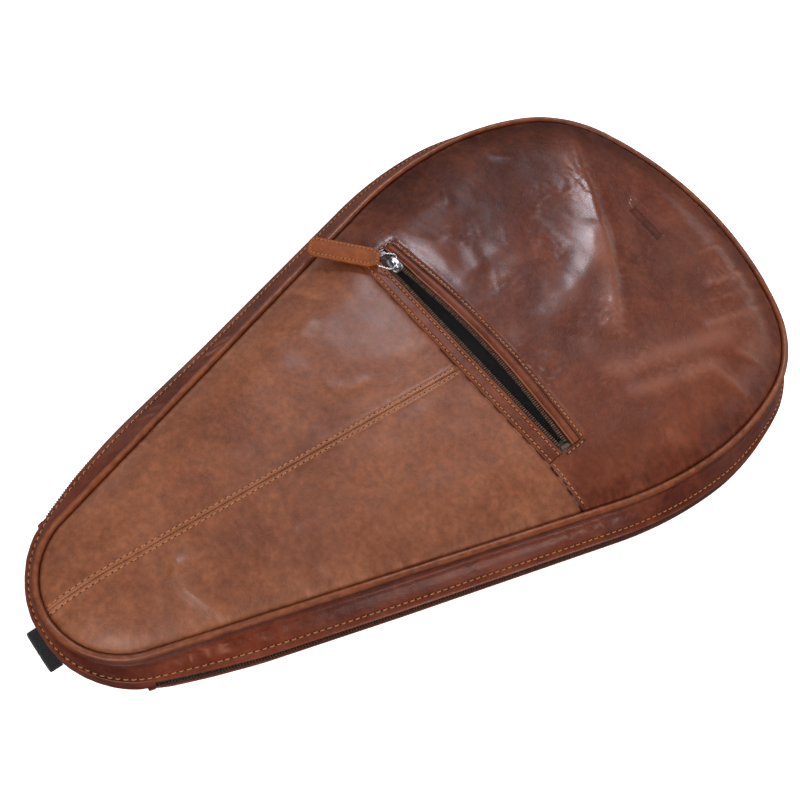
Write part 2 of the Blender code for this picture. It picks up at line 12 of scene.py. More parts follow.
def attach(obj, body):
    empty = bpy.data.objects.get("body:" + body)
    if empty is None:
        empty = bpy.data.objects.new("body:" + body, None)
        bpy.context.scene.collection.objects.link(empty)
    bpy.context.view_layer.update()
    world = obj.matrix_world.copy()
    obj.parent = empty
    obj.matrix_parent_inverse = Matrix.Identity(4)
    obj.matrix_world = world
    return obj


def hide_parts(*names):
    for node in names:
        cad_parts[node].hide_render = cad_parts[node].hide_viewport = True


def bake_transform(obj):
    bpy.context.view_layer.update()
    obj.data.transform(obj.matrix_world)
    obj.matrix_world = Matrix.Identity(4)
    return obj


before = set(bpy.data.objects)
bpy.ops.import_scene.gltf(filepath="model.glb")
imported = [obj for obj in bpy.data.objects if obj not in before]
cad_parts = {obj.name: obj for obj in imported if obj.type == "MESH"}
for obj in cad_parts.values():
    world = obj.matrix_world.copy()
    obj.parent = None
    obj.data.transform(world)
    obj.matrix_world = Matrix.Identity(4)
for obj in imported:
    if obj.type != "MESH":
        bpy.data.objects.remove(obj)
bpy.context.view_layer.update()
FINE = 1.0      # factor on mesh steps
MM = 0.001
SCENE = bpy.context.scene

# ------------------------------------------------------------------ driving dimensions
LENGTH = 518.0
TIP_R = 48.0
FLANK = radians(17.2)                  # lean of the straight flanks from the Y axis
SIDE_R, WIDEST_Y = 280.0, 128.0
UPPER_R, UPPER_SWEEP = 200.0, radians(19)
SHOULDER_R = 80.0
OUTLINE_STEP = 1.0
JOINTS = 12                            # arc joints round the whole outline

Z_FRONT, Z_ZIP, Z_BACK = 45.0, 22.0, 5.0
DOME, DOME_INSET = 11.5, 45.0          # rise of the front, and the inset where it is complete
CROWN_EDGE = Z_FRONT - 0.5
LEATHER = 1.6

# pocket frame: 'along' runs along the cross seam to the right, 'above' square to it to the head
POCKET_TURN, POCKET_Y, POCKET_HALF = radians(3.1), 18.5, 88.0
POCKET_COS, POCKET_SIN = cos(POCKET_TURN), sin(POCKET_TURN)
PLACKET_TOP, LIP_ABOVE, LIP_ARCH = 12.0, 27.5, 7.0
SEAM_A, SEAM_B = np.array((-4.0, -259.0)), np.array((7.0, 18.5))   # line of the centre seam
SEAM_ROW = 2.2                         # stitch rows either side of the centre seam

# joint along the outline, splay of the walls at the zip
SPLAY = np.array((
    (0, 5), (0.5, 7.5), (0.9, 11.5), (1, 13), (1.1, 16.5), (1.2, 18.5), (1.5, 18.5), (2, 16.5),
    (3, 16), (4, 12.5), (4.5, 8), (5, 3.5), (6, 3.5))).T
# joint, splay added on the left half
SLUMP = np.array((
    (0, 0), (0.5, 1), (0.9, 2.5), (1.1, 5), (1.25, 4.5), (1.5, 1.5), (2, 1.5), (3, 2), (4, 1.5),
    (4.7, 0.1), (6, 0))).T


# ------------------------------------------------------------------ small helpers
def unit(rows):
    return rows / np.linalg.norm(rows, axis=1)[:, None]


def left_normals(directions):
    """Unit normals to the left of directions in a plane."""
    ahead = unit(directions)
    return np.stack([-ahead[:, 1], ahead[:, 0]], 1)


def turns(count):
    return [2 * pi * i / count for i in range(count)]


def smooth(start, end, x):
    """Soft step from 0 at start to 1 at end."""
    part = np.clip((x - start) / (end - start), 0, 1)
    return part * part * (3 - 2 * part)


def bell(x, centre, width):
    return np.exp(-((x - centre) / width) ** 2)


# ------------------------------------------------------------------ outline
def half_outline():
    """Right half, tip to head, as (x, y, normal angle, joint); radius and centre y of the cap."""
    points = []

    def arc(centre_x, centre_y, radius, start, end, joint):
        count = max(3, int(ceil(abs(end - start) * radius / OUTLINE_STEP)))
        for i in range(count):
            part = i / count
            angle = start + (end - start) * part
            points.append((centre_x + radius * cos(angle), centre_y + radius * sin(angle),
                           angle, joint + part))

    arc(0.0, -LENGTH / 2 + TIP_R, TIP_R, -pi / 2, -FLANK, 0)
    flank_x, flank_y = TIP_R * cos(FLANK), -LENGTH / 2 + TIP_R - TIP_R * sin(FLANK)
    side_y = WIDEST_Y - SIDE_R * sin(FLANK)
    side_x = flank_x + (side_y - flank_y) * tan(FLANK)
    count = int(ceil(hypot(side_x - flank_x, side_y - flank_y) / OUTLINE_STEP))
    for i in range(count):
        part = i / count
        points.append((flank_x + (side_x - flank_x) * part, flank_y + (side_y - flank_y) * part,
                       -FLANK, 1 + part))
    widest_x = side_x + SIDE_R * (1 - cos(FLANK))
    arc(widest_x - SIDE_R, WIDEST_Y, SIDE_R, -FLANK, 0.0, 2)
    arc(widest_x - UPPER_R, WIDEST_Y, UPPER_R, 0.0, UPPER_SWEEP, 3)
    shoulder_x = widest_x - UPPER_R + (UPPER_R - SHOULDER_R) * cos(UPPER_SWEEP)
    shoulder_y = WIDEST_Y + (UPPER_R - SHOULDER_R) * sin(UPPER_SWEEP)
    drop = shoulder_y - LENGTH / 2
    cap_r = (SHOULDER_R ** 2 - shoulder_x ** 2 - drop ** 2) / (2 * (drop + SHOULDER_R))
    cap_y = LENGTH / 2 - cap_r
    cap_start = atan2(shoulder_y - cap_y, shoulder_x)
    arc(shoulder_x, shoulder_y, SHOULDER_R, UPPER_SWEEP, cap_start, 4)
    arc(0.0, cap_y, cap_r, cap_start, pi / 2, 5)
    points.append((0.0, LENGTH / 2, pi / 2, 6.0))
    return points, cap_r, cap_y


RIGHT_HALF, CAP_R, CAP_Y = half_outline()
LEFT_HALF = [(-x, y, pi - angle, JOINTS - joint)
             for x, y, angle, joint in reversed(RIGHT_HALF[1:-1])]
RING = np.array(RIGHT_HALF + LEFT_HALF)
RING_XY = RING[:, :2].copy()
RING_NORMAL = np.stack([np.cos(RING[:, 2]), np.sin(RING[:, 2])], 1)
RING_JOINT = RING[:, 3].copy()
RING_SEG = np.linalg.norm(np.roll(RING_XY, -1, axis=0) - RING_XY, axis=1)
RING_ARC = np.concatenate([[0.0], np.cumsum(RING_SEG)[:-1]])
RING_LEN = float(RING_SEG.sum())
# arc length on the right where the tip's arc ends and the zip chain starts
CHAIN_START = float(np.interp(1.0, RING_JOINT[:len(RIGHT_HALF)], RING_ARC[:len(RIGHT_HALF)]))


def around(arc, values, end):
    """Ring values at arc lengths, counted counter-clockwise from the tip."""
    return np.interp(np.mod(np.asarray(arc, float), RING_LEN), np.append(RING_ARC, RING_LEN),
                     np.append(values, end))


def joint_at(arc):
    return around(arc, RING_JOINT, JOINTS)


def ring_at(arc):
    """x, y and the outward normal's x, y at arc lengths."""
    x, y, out_x, out_y = [around(arc, a, a[0]) for a in (*RING_XY.T, *RING_NORMAL.T)]
    size = np.hypot(out_x, out_y)
    return x, y, out_x / size, out_y / size


def ring_arcs(step):
    count = int(round(RING_LEN / step))
    return np.arange(count) * RING_LEN / count


def place(arc, off, z):
    """Points at an offset outside the outline."""
    x, y, out_x, out_y = ring_at(arc)
    return np.stack([x + out_x * off, y + out_y * off, np.zeros_like(x) + z], 1)


def inset_line(inset, step):
    return place(ring_arcs(step), -inset, 0)[:, :2]


def rim_at(x, y):
    """Depth inside the outline, and arc length of its nearest point."""
    points = np.stack([np.ravel(x), np.ravel(y)], 1).astype(float)
    depth, arc = np.empty(len(points)), np.empty(len(points))
    chunk = 3000
    for i in range(0, len(points), chunk):
        some = points[i:i + chunk]
        near = ((some[:, None, 0] - RING_XY[None, :, 0]) ** 2
                + (some[:, None, 1] - RING_XY[None, :, 1]) ** 2).argmin(1)
        away, normal = some - RING_XY[near], RING_NORMAL[near]
        depth[i:i + chunk] = -(away * normal).sum(1)
        arc[i:i + chunk] = RING_ARC[near] + (-away[:, 0] * normal[:, 1] + away[:, 1] * normal[:, 0])
    return depth, arc


def splay_values():
    """Splay at every ring point, rounded where the table's straight pieces meet."""
    half_joint = np.minimum(RING_JOINT, JOINTS - RING_JOINT)
    values = np.interp(half_joint, *SPLAY)
    values = values + np.where(RING_JOINT > 6, np.interp(half_joint, *SLUMP), 0)
    weights = np.exp(-np.linspace(-2, 2, 25) ** 2)
    padded = np.concatenate([values[-30:], values, values[:30]])
    values = np.convolve(padded, weights / weights.sum(), "same")[30:-30]
    return np.append(values, values[0])


SPLAY_JOINT, SPLAY_VALUE = np.append(RING_JOINT, JOINTS), splay_values()


def splay(joint):
    return np.interp(joint, SPLAY_JOINT, SPLAY_VALUE)


def wall_height(z):
    """Height of the leaning wall above or below the zip."""
    return np.where(z > Z_ZIP, Z_FRONT - 2 - Z_ZIP, Z_ZIP - Z_BACK - 2)


def square(joint, z):
    """Level width of one millimetre measured square to the leaning wall."""
    return np.hypot(1, splay(joint) / wall_height(z))


def wall(z):
    """Share of the splay at a height: 1 at the zip, 0 at the piping."""
    return np.maximum(0.0, 1 - np.abs(z - Z_ZIP) / wall_height(z)) ** 0.85


# ------------------------------------------------------------------ pocket and seam frames
def lip(along):
    """Upper edge of the pocket's window, arched in the middle."""
    arch = np.cos(np.pi * np.asarray(along, float) / (2 * POCKET_HALF))
    return LIP_ABOVE + LIP_ARCH * np.maximum(0.0, arch)


def to_pocket(x, y):
    x, y = np.asarray(x, float), np.asarray(y, float) - POCKET_Y
    return x * POCKET_COS + y * POCKET_SIN, -x * POCKET_SIN + y * POCKET_COS


def from_pocket(along, above):
    along, above = np.asarray(along, float), np.asarray(above, float)
    return (along * POCKET_COS - above * POCKET_SIN,
            POCKET_Y + along * POCKET_SIN + above * POCKET_COS)


SEAM_DIR = (SEAM_B - SEAM_A) / np.linalg.norm(SEAM_B - SEAM_A)
SEAM_RIGHT = np.array((SEAM_DIR[1], -SEAM_DIR[0]))


def seam_side(x, y):
    """Signed distance from the centre seam, to its right."""
    return (np.asarray(x) - SEAM_A[0]) * SEAM_RIGHT[0] + (np.asarray(y) - SEAM_A[1]) * SEAM_RIGHT[1]


def dome(depth, rise=DOME):
    return rise * (1 - (1 - np.clip(depth / DOME_INSET, 0, 1)) ** 2.2)


def crown_z(along, above):
    """Height of the smooth front under a place in the pocket frame."""
    return CROWN_EDGE + dome(rim_at(*from_pocket(along, above))[0])


# ------------------------------------------------------------------ noise
RANDOM = np.random.RandomState(11)
SHUFFLE = RANDOM.permutation(1024)
ANGLES = RANDOM.rand(1024) * 2 * np.pi


def noise(x, y=0.0, seed=0):
    """Gradient noise."""
    x = np.asarray(x, float) + seed * 17.13
    y = np.asarray(y, float) + seed * 9.71 + np.zeros_like(x)
    x = x + np.zeros_like(y)
    col, row = np.floor(x).astype(np.int64), np.floor(y).astype(np.int64)
    part_x, part_y = x - col, y - row

    def corner(i, j):
        angle = ANGLES[SHUFFLE[(SHUFFLE[(col + i) & 1023] + row + j) & 1023]]
        return np.cos(angle) * (part_x - i) + np.sin(angle) * (part_y - j)

    ease_x, ease_y = [p * p * p * (p * (p * 6 - 15) + 10) for p in (part_x, part_y)]
    low = corner(0, 0) * (1 - ease_x) + corner(1, 0) * ease_x
    high = corner(0, 1) * (1 - ease_x) + corner(1, 1) * ease_x
    return 1.5 * (low * (1 - ease_y) + high * ease_y)


def ridged(x, y=0.0, seed=0):
    return 1 - 2.2 * np.minimum(np.abs(noise(x, y, seed)), 0.45)


def off_line(x, y, points):
    """Signed distance across a polyline (positive on its left) and share of the way along it."""
    points = [np.array(p, float) for p in points]
    total = sum(np.linalg.norm(b - a) for a, b in zip(points, points[1:]))
    best, side, share, done = np.full(np.shape(x), 1e9), np.zeros(np.shape(x)), \
        np.zeros(np.shape(x)), 0.0
    for start, end in zip(points, points[1:]):
        leg = end - start
        size = np.linalg.norm(leg)
        part = ((x - start[0]) * leg[0] + (y - start[1]) * leg[1]) / size ** 2
        part = np.clip(part, 0, 1)
        gap_x, gap_y = x - start[0] - part * leg[0], y - start[1] - part * leg[1]
        gap = np.hypot(gap_x, gap_y)
        near = gap < best
        best = np.where(near, gap, best)
        side = np.where(near, np.sign(leg[0] * gap_y - leg[1] * gap_x), side)
        share = np.where(near, (done + part * size) / total, share)
        done += size
    return best * side, share


# ------------------------------------------------------------------ front surface
# Soft ridges in the front: polyline, width, height, sharp side (0 none, 1 left, -1 right)
FOLDS = [
    ([(-112, 222), (-77, 200), (-42, 182), (-14, 167), (17, 146), (48, 122)], 25.0, 3.2, 1),
    ([(-30, 172), (-8, 150), (6, 120), (16, 84)], 10.0, 0.7, 0),
    ([(-116, 22), (-98, 42), (-76, 57), (-45, 64), (-18, 60)], 12.0, 0.8, 0),
    ([(-80, 74), (-62, 82), (-40, 78)], 6.0, 0.45, 0),
    ([(62, 92), (70, 130), (88, 196)], 10.0, 1.1, 0),
    ([(80, 96), (92, 140), (97, 172)], 7.0, 0.9, 0),
    ([(73, 178), (86, 238)], 4.2, 0.9, 0),
    ([(50, 201), (60, 252)], 4.0, 0.9, 0),
    ([(60, 190), (72, 244)], 2.6, 0.4, 0),
    ([(28, 212), (35, 252)], 4.0, 0.7, 0),
    ([(96, 182), (124, 198)], 4.0, 0.8, 0),
    ([(94, 158), (130, 168)], 4.4, 0.8, 0),
    ([(-125, 146), (-112, 147), (-100, 160)], 4.0, 0.5, 0),
    ([(-124, 96), (-108, 100), (-92, 92)], 4.0, 0.4, 0),
    ([(8, -188), (20, -193), (30, -193), (58, -184)], 9.0, 2.3, -1),
    ([(10, -203), (22, -195)], 4.0, 0.4, 0),
    ([(33, -127), (48, -126)], 6.0, 1.0, -1),
    ([(56, -126), (79, -120)], 6.0, 1.2, -1),
    ([(58, -141), (76, -137)], 7.0, 1.0, -1),
    ([(90, -10), (110, -6)], 7.0, 1.0, -1),
    ([(-72, -72), (-67, -50), (-74, -34)], 6.0, 0.8, 0),
    ([(-52, -150), (-44, -128)], 3.5, 0.35, 0),
    ([(-30, -60), (-20, -48), (-16, -30)], 4.5, 0.35, 0),
    ([(40, -60), (52, -52)], 4.0, 0.3, 0),
]
EMBOSS_X, EMBOSS_Y, EMBOSS_LEN, EMBOSS_WIDTH = -9.5, 202.5, 28.0, 6.0

# Each layer below returns a height to add and a tone: above 0 lighter, from rubbed wear and from
# painted sheen and highlights; below 0 darker, mostly painted shade in grooves, creases and under
# laps.


def base_layer(x, depth, above):
    """Domed shell with a roll and a groove beside the piping; painted shade on the head's left and
    inside its rim, painted light on its right.
    """
    inside = np.maximum(depth, 0)
    z = CROWN_EDGE + dome(depth)
    z = z + 0.9 * (1 - bell(depth, 0, 3.2)) * bell(inside, 0, 26) - 2.9 * bell(inside, 0, 2.3)
    head = above > 0
    # painted shade: darker towards the head's left and in a band inside its rim; the tone returned
    # below also adds painted light on the head's right
    shade = smooth(10, -115, x) * smooth(20, 60, above) * 0.56
    shade = shade + head * 0.30 * (1 - smooth(5, 28, depth))
    return z, 0.34 * head * smooth(-45, 55, x) * smooth(6, 20, depth) - shade


def wave_layer(x, y, along, above, aside, inner, upper):
    """Broad undulation, calmed beside the seams."""
    waves = 0.75 * noise(x / 75, y / 75, 1) + 0.36 * noise(x / 33, y / 33, 2)
    waves = waves + 0.13 * noise(x / 15, y / 15, 3)
    waves = waves + upper * (0.16 * noise(x / 24, y / 24, 4) + 0.07 * ridged(x / 17, y / 12, 7))
    calm = 1 - 0.85 * bell(aside, 0, 7) * smooth(2, -6, above)
    calm = calm - 0.8 * bell(above, 6, 9) * (np.abs(along) < 100)
    return waves * inner * np.clip(calm, 0.1, 1), 0.16 * waves


def crease_layer(x, y, inner, upper):
    """Fine creases in patches."""
    patch = np.clip(noise(x / 46, y / 46, 21) * 1.6 + 0.15, 0, 1) * inner
    web = ridged(x / 6.2 + 1.3 * noise(x / 15, y / 15, 23),
                 y / 6.2 + 1.3 * noise(x / 15, y / 15, 24), 22)
    web = np.clip(web - 0.55, 0, 1) * 2.2
    return -(0.12 + 0.26 * upper) * web * patch, 0.36 * web * patch * (0.35 + 0.5 * upper)


def rim_layer(y, depth, arc):
    """Crinkles square to the rim, stronger in places and at the head."""
    where = np.clip(noise(arc / 42, 0.0, 5) + 0.45, 0, 1)
    head = smooth(120, 210, y)
    crinkle = noise(arc / 2.3, depth / 26, 6) + 0.6 * noise(arc / 4.9, depth / 40, 8)
    height = 0.07 + 0.20 * where + 0.10 * head + 0.12 * bell(arc, 48, 18)
    z = height * crinkle * np.exp(-(np.abs(depth - 3.5) / (8 + 7 * head)) ** 1.5)
    # tone: lighter on the crinkles and in a band a few millimetres inside the rim, partly edge wear
    # and partly painted highlight; painted shade in the crease beside the piping
    tone = 0.35 * crinkle * bell(depth, 4.5, 6) * (0.4 + where)
    tone = tone + 0.35 * bell(depth, 4.2, 2.4) - 1.0 * bell(depth, 1.2, 1.2)
    # painted highlight on the rim near the tip's right
    return z, tone + 0.30 * bell(arc, 47, 20) * bell(depth, 8.0, 3.0)


def fold_layer(x, y, inner):
    z, tone = np.zeros_like(x), np.zeros_like(x)
    for points, width, height, sharp in FOLDS:
        off, part = off_line(x, y, points)
        end = np.clip(np.minimum(part, 1 - part) * 7, 0, 1) ** 0.7
        if sharp:
            width = np.where(off * sharp > 0, width * 0.28, width)
            peak = np.exp(-1.7 * np.sqrt(off * off + 1.2) / width)
            form = (0.5 * bell(off, 0, width) + 0.5 * peak) * end
        else:
            form = bell(off, 0, width) * end
        z = z + height * form * inner
        # lighter band along each fold: partly rubbed wear, partly painted sheen
        rub_and_sheen_width = np.minimum(width, 22.0) * 0.65
        tone = tone + min(0.55, 0.30 * height) * bell(off, 0, rub_and_sheen_width) * end
    return z, tone


def centre_seam_layer(above, aside):
    """Seam of the two lower panels, flattened and stitched on both sides."""
    low, away = smooth(0.6, -0.6, above), np.abs(aside)
    z = 0.40 * (1 - smooth(2.4, 4.6, away)) - 0.55 * bell(aside, 0, 0.36) \
        - 0.42 * bell(away, SEAM_ROW, 0.6)
    # tone: lighter band between the stitch rows; painted shade in the seam groove and the stitch
    # grooves
    tone = 0.58 * (1 - smooth(1.8, 3.6, away)) - 0.75 * bell(aside, 0, 0.32) \
        - 0.15 * bell(away, SEAM_ROW, 0.45)
    return low * z, low * tone


def cross_seam_layer(along, above):
    """The upper leather laps over the lower."""
    side = smooth(86, 90, np.abs(along))
    z = np.where(above > 0, 0.55 * np.exp(-np.maximum(above, 0) / 7) * side,
                 -0.5 * np.exp(-np.maximum(-above, 0) / 3.5))
    z = z + side * (-0.45 * bell(above, 0, 0.5) - 0.4 * bell(above, 2.4, 0.65)) * (above > -0.01)
    # tone: lighter along the lapped edge; painted shade where the lower leather runs under it and
    # along the seam
    tone = np.where(above > 0, 0.25 * side * (1 - smooth(2, 5, np.abs(above))),
                    -0.9 * bell(above, 0, 1.3))
    return z, tone - 0.6 * side * bell(above, 0, 0.6)


def window_layer(along, above):
    """Stitched edge and ends of the pocket's window."""
    edge = above - lip(along)
    near = (1 - smooth(86, 92, np.abs(along))) * (above > 8)
    z = near * (-0.5 * bell(edge, 0.0, 1.0) - 0.4 * bell(edge, 2.2, 0.65)
                + 0.25 * bell(edge, 4.2, 1.8))
    # tone: painted shade along the window's edge and in its end grooves, lighter on the raised band
    # above
    tone = near * (-0.7 * bell(edge, 0.0, 0.9) + 0.15 * bell(edge, 4.5, 2.0))
    ends = bell(np.abs(along), 90.0, 1.7) * smooth(6, 12, above) * (1 - smooth(30, 33, above))
    return z - 0.26 * ends, tone - 0.3 * ends


def emboss_layer(x, y):
    """Blank oblong pressed into the head leather."""
    box = np.maximum(np.abs(x - EMBOSS_X) - EMBOSS_LEN / 2, np.abs(y - EMBOSS_Y) - EMBOSS_WIDTH / 2)
    return (0.12 * bell(box, 1.0, 0.7) - 0.34 * (1 - smooth(-0.7, 0.6, box)),
            -0.45 * bell(box, -0.3, 0.8) - 0.42 * (1 - smooth(-0.6, 0.0, box)))


def front_surface(x, y):
    """Height and tone of the front leather."""
    x, y = np.asarray(x, float), np.asarray(y, float)
    depth, arc = rim_at(x, y)
    along, above = to_pocket(x, y)
    aside = seam_side(x, y)
    inner, upper = smooth(3, 22, depth), smooth(-2, 6, above)
    layers = (
        base_layer(x, depth, above),
        wave_layer(x, y, along, above, aside, inner, upper),
        crease_layer(x, y, inner, upper),
        rim_layer(y, depth, arc),
        fold_layer(x, y, inner),
        centre_seam_layer(above, aside),
        cross_seam_layer(along, above),
        window_layer(along, above),
        emboss_layer(x, y),
    )
    return sum(z for z, _ in layers), sum(tone for _, tone in layers)


def front_normals(x, y):
    step = 0.5
    left, right, low, high = [front_surface(x + i * step, y + j * step)[0]
                              for i, j in ((-1, 0), (1, 0), (0, -1), (0, 1))]
    return unit(np.stack([-(right - left) / (2 * step), -(high - low) / (2 * step),
                          np.ones_like(left)], 1))


# ------------------------------------------------------------------ shader node helpers
def srgb(*levels):
    """Linear colour of 8-bit sRGB levels."""
    return tuple(((c / 255 + 0.055) / 1.055) ** 2.4 if c > 10 else c / 255 / 12.92
                 for c in levels) + (1.0,)


def scaled(colour, factor):
    return tuple(c * factor for c in colour[:3]) + (1.0,)


def blended(first, second, share):
    return tuple(a * (1 - share) + b * share for a, b in zip(first[:3], second[:3])) + (1.0,)


class Nodes:
    """Node tree of a material or world; inputs take either a value or an output socket."""

    def __init__(self, owner, main):
        owner.use_nodes = True
        self.owner = owner
        self.tree = owner.node_tree
        self.main = self.tree.nodes[main]

    def feed(self, node, inputs):
        for key, value in inputs.items():
            if isinstance(value, bpy.types.NodeSocket):
                self.tree.links.new(value, node.inputs[key])
            else:
                node.inputs[key].default_value = value

    def surface(self, inputs):
        self.feed(self.main, inputs)

    def node(self, kind, inputs=None, **settings):
        node = self.tree.nodes.new(kind)
        for key, value in settings.items():
            setattr(node, key, value)
        self.feed(node, inputs or {})
        return node

    def mapping(self, move=(0, 0, 0)):
        return self.node("ShaderNodeMapping", {"Location": move, "Vector": self.coords}).outputs[0]

    def noise(self, scale, detail=4.0, rough=0.55, distort=0.0, at=None):
        return self.node("ShaderNodeTexNoise", {
            "Scale": scale, "Detail": detail, "Roughness": rough, "Distortion": distort,
            "Vector": at or self.coords}).outputs["Fac"]

    def voronoi(self, scale, feature, at):
        return self.node("ShaderNodeTexVoronoi", {"Scale": scale, "Vector": at},
                         feature=feature).outputs["Distance"]

    def ramp(self, value, over, to=(0.0, 1.0)):
        """The value's range 'over' mapped to the range 'to', clamped."""
        return self.node("ShaderNodeMapRange",
                         dict(enumerate((value, *over, *to)))).outputs[0]

    def calc(self, operation, *values):
        return self.node("ShaderNodeMath", dict(enumerate(values)), operation=operation).outputs[0]

    def mix(self, share, first, second, blend="MIX"):
        return self.node("ShaderNodeMix", {0: share, 6: first, 7: second},
                         data_type="RGBA", blend_type=blend).outputs[2]

    def bump(self, height, strength, distance, over=None):
        inputs = {"Strength": strength, "Distance": distance, "Height": height}
        if over is not None:
            inputs["Normal"] = over
        return self.node("ShaderNodeBump", inputs).outputs[0]


def new_material(name):
    nodes = Nodes(bpy.data.materials.new(name), "Principled BSDF")
    nodes.coords = nodes.node("ShaderNodeTexCoord").outputs["Object"]
    return nodes


# ------------------------------------------------------------------ materials
def leather(name, dark, mid, light, rough, coat, coat_rough, grain, crease, cloud, seed, spec):
    dark, mid, light = srgb(*dark), srgb(*mid), srgb(*light)
    mat = new_material(name)
    at = mat.mapping(move=(seed * 0.37, seed * 0.21, seed * 0.11))
    clouds = mat.noise(cloud, detail=5, rough=0.6, distort=0.5, at=at)
    medium = mat.noise(38, detail=6, rough=0.62, distort=0.6, at=at)
    fine = mat.noise(260, detail=4, rough=0.6, distort=0.2, at=at)
    pores = mat.voronoi(1100, "F1", at)
    # dye: clouds of dark and mid, worn light patches, fine speckle
    base = mat.mix(mat.ramp(clouds, over=(0.30, 0.62)), dark, mid)
    base = mat.mix(mat.ramp(medium, over=(0.44, 0.80), to=(0.0, 0.55)), base, light)
    base = mat.mix(mat.ramp(medium, over=(0.22, 0.42), to=(0.45, 0.0)), base, dark)
    small = mat.noise(120, detail=6, rough=0.65, distort=0.3, at=at)
    speck = mat.calc("MULTIPLY", mat.ramp(fine, over=(0.32, 0.68), to=(0.80, 1.16)),
                     mat.ramp(small, over=(0.32, 0.68), to=(0.86, 1.12)))
    grey = mat.node("ShaderNodeCombineColor", dict.fromkeys(range(3), speck)).outputs[0]
    base = mat.mix(1.0, base, grey, "MULTIPLY")
    # the mesh's tone lightens rubbed edges and painted sheen and highlights, and darkens with
    # painted shade in seams, grooves and creases
    tone = mat.node("ShaderNodeAttribute", attribute_name="tone").outputs["Fac"]
    base = mat.mix(mat.ramp(tone, over=(0.05, 1.2), to=(0.0, 0.75)), base, light)
    base = mat.mix(mat.ramp(tone, over=(-1.1, -0.05), to=(0.8, 0.0)), base, scaled(dark, 0.35))
    # dull haze, and a pale pinkish tint where the tone is highest: painted sheen
    haze = mat.noise(17, detail=4, rough=0.6, distort=0.8, at=at)
    base = mat.mix(mat.ramp(haze, over=(0.46, 0.76), to=(0.0, 0.34)), base,
                   blended(dark, srgb(112, 84, 80), share=0.4))
    base = mat.mix(mat.ramp(tone, over=(0.42, 1.3), to=(0.0, 0.62)), base,
                   blended(light, srgb(178, 140, 128), share=0.45))
    gloss = mat.calc("ADD", mat.ramp(medium, over=(0.3, 0.7), to=(rough - 0.07, rough + 0.09)),
                     mat.ramp(fine, over=(0.3, 0.7), to=(-0.03, 0.04)))
    gloss = mat.calc("ADD", gloss, mat.ramp(tone, over=(-1, 1), to=(0.08, -0.05)))
    lines = mat.ramp(mat.voronoi(150, "DISTANCE_TO_EDGE", at), over=(0.0, 0.09))
    normal = mat.bump(lines, strength=crease * 0.35, distance=0.0004)
    wrinkles = mat.noise(95, detail=5, rough=0.6, distort=1.2, at=at)
    normal = mat.bump(wrinkles, strength=crease, distance=0.0011, over=normal)
    normal = mat.bump(pores, strength=grain, distance=0.00022, over=normal)
    normal = mat.bump(fine, strength=grain, distance=0.00035, over=normal)
    mat.surface({
        "Base Color": base, "Roughness": gloss, "Specular IOR Level": spec,
        "Coat Weight": mat.ramp(tone, over=(-0.45, 0.35), to=(coat * 0.14, coat * 1.45)),
        "Coat Roughness": coat_rough, "Normal": normal})
    return mat.owner


def woven(name, colour, light, pitch, rough=0.75, strength=0.6):
    mat = new_material(name)
    split = mat.node("ShaderNodeSeparateXYZ", {0: mat.mapping()}).outputs

    def threads(operation, axis):
        place_on = mat.calc(operation, split[axis], split[2])
        return mat.calc("SINE", mat.calc("MULTIPLY", place_on, 2 * pi / pitch))

    height = mat.calc("MULTIPLY", threads("ADD", 0), threads("SUBTRACT", 1))
    fuzz = mat.noise(500, detail=4)
    base = mat.mix(mat.ramp(height, over=(-1, 1), to=(0.0, 0.7)), colour, light)
    patches = mat.ramp(mat.noise(30, detail=4), over=(0.3, 0.7), to=(0.0, 0.4))
    mat.surface({
        "Base Color": mat.mix(patches, base, colour),
        "Roughness": mat.ramp(fuzz, over=(0.3, 0.7), to=(rough - 0.08, rough + 0.08)),
        "Sheen Weight": 0.15,
        "Normal": mat.bump(height, strength=strength, distance=pitch * 0.2)})
    return mat.owner


def metal(name, colour, rough):
    mat = new_material(name)
    wear = mat.noise(240, detail=5, rough=0.6, distort=0.3)
    mat.surface({
        "Metallic": 1.0,
        "Base Color": mat.mix(mat.ramp(wear, over=(0.35, 0.75), to=(0.0, 0.35)), colour,
                              scaled(colour, 0.6)),
        "Roughness": mat.ramp(wear, over=(0.3, 0.7), to=(rough - 0.07, rough + 0.12)),
        "Normal": mat.bump(mat.noise(900, detail=3), strength=0.12, distance=0.0001)})
    return mat.owner


def plain(name, colour, light, rough, scale=300, strength=0.3):
    mat = new_material(name)
    grain = mat.noise(scale, detail=4, rough=0.6)
    mat.surface({
        "Base Color": mat.mix(mat.ramp(grain, over=(0.3, 0.7)), colour, light),
        "Roughness": mat.ramp(grain, over=(0.3, 0.7), to=(rough - 0.08, min(1, rough + 0.08))),
        "Normal": mat.bump(grain, strength=strength, distance=0.0003)})
    return mat.owner


def twisted(name, dark, light):
    """Waxed sewing thread: two plies show as slanted bands."""
    mat = new_material(name)
    plies = mat.node("ShaderNodeTexWave", {"Scale": 520, "Distortion": 1.0, "Vector": mat.coords},
                     wave_type="BANDS", bands_direction="DIAGONAL").outputs["Fac"]
    patches = mat.noise(60, detail=3)
    base = mat.mix(mat.ramp(plies, over=(0.2, 0.8)), dark, light)
    mat.surface({
        "Base Color": mat.mix(mat.ramp(patches, over=(0.35, 0.65), to=(0.0, 0.45)), base, dark),
        "Roughness": 0.62,
        "Normal": mat.bump(plies, strength=0.5, distance=0.0002)})
    return mat.owner


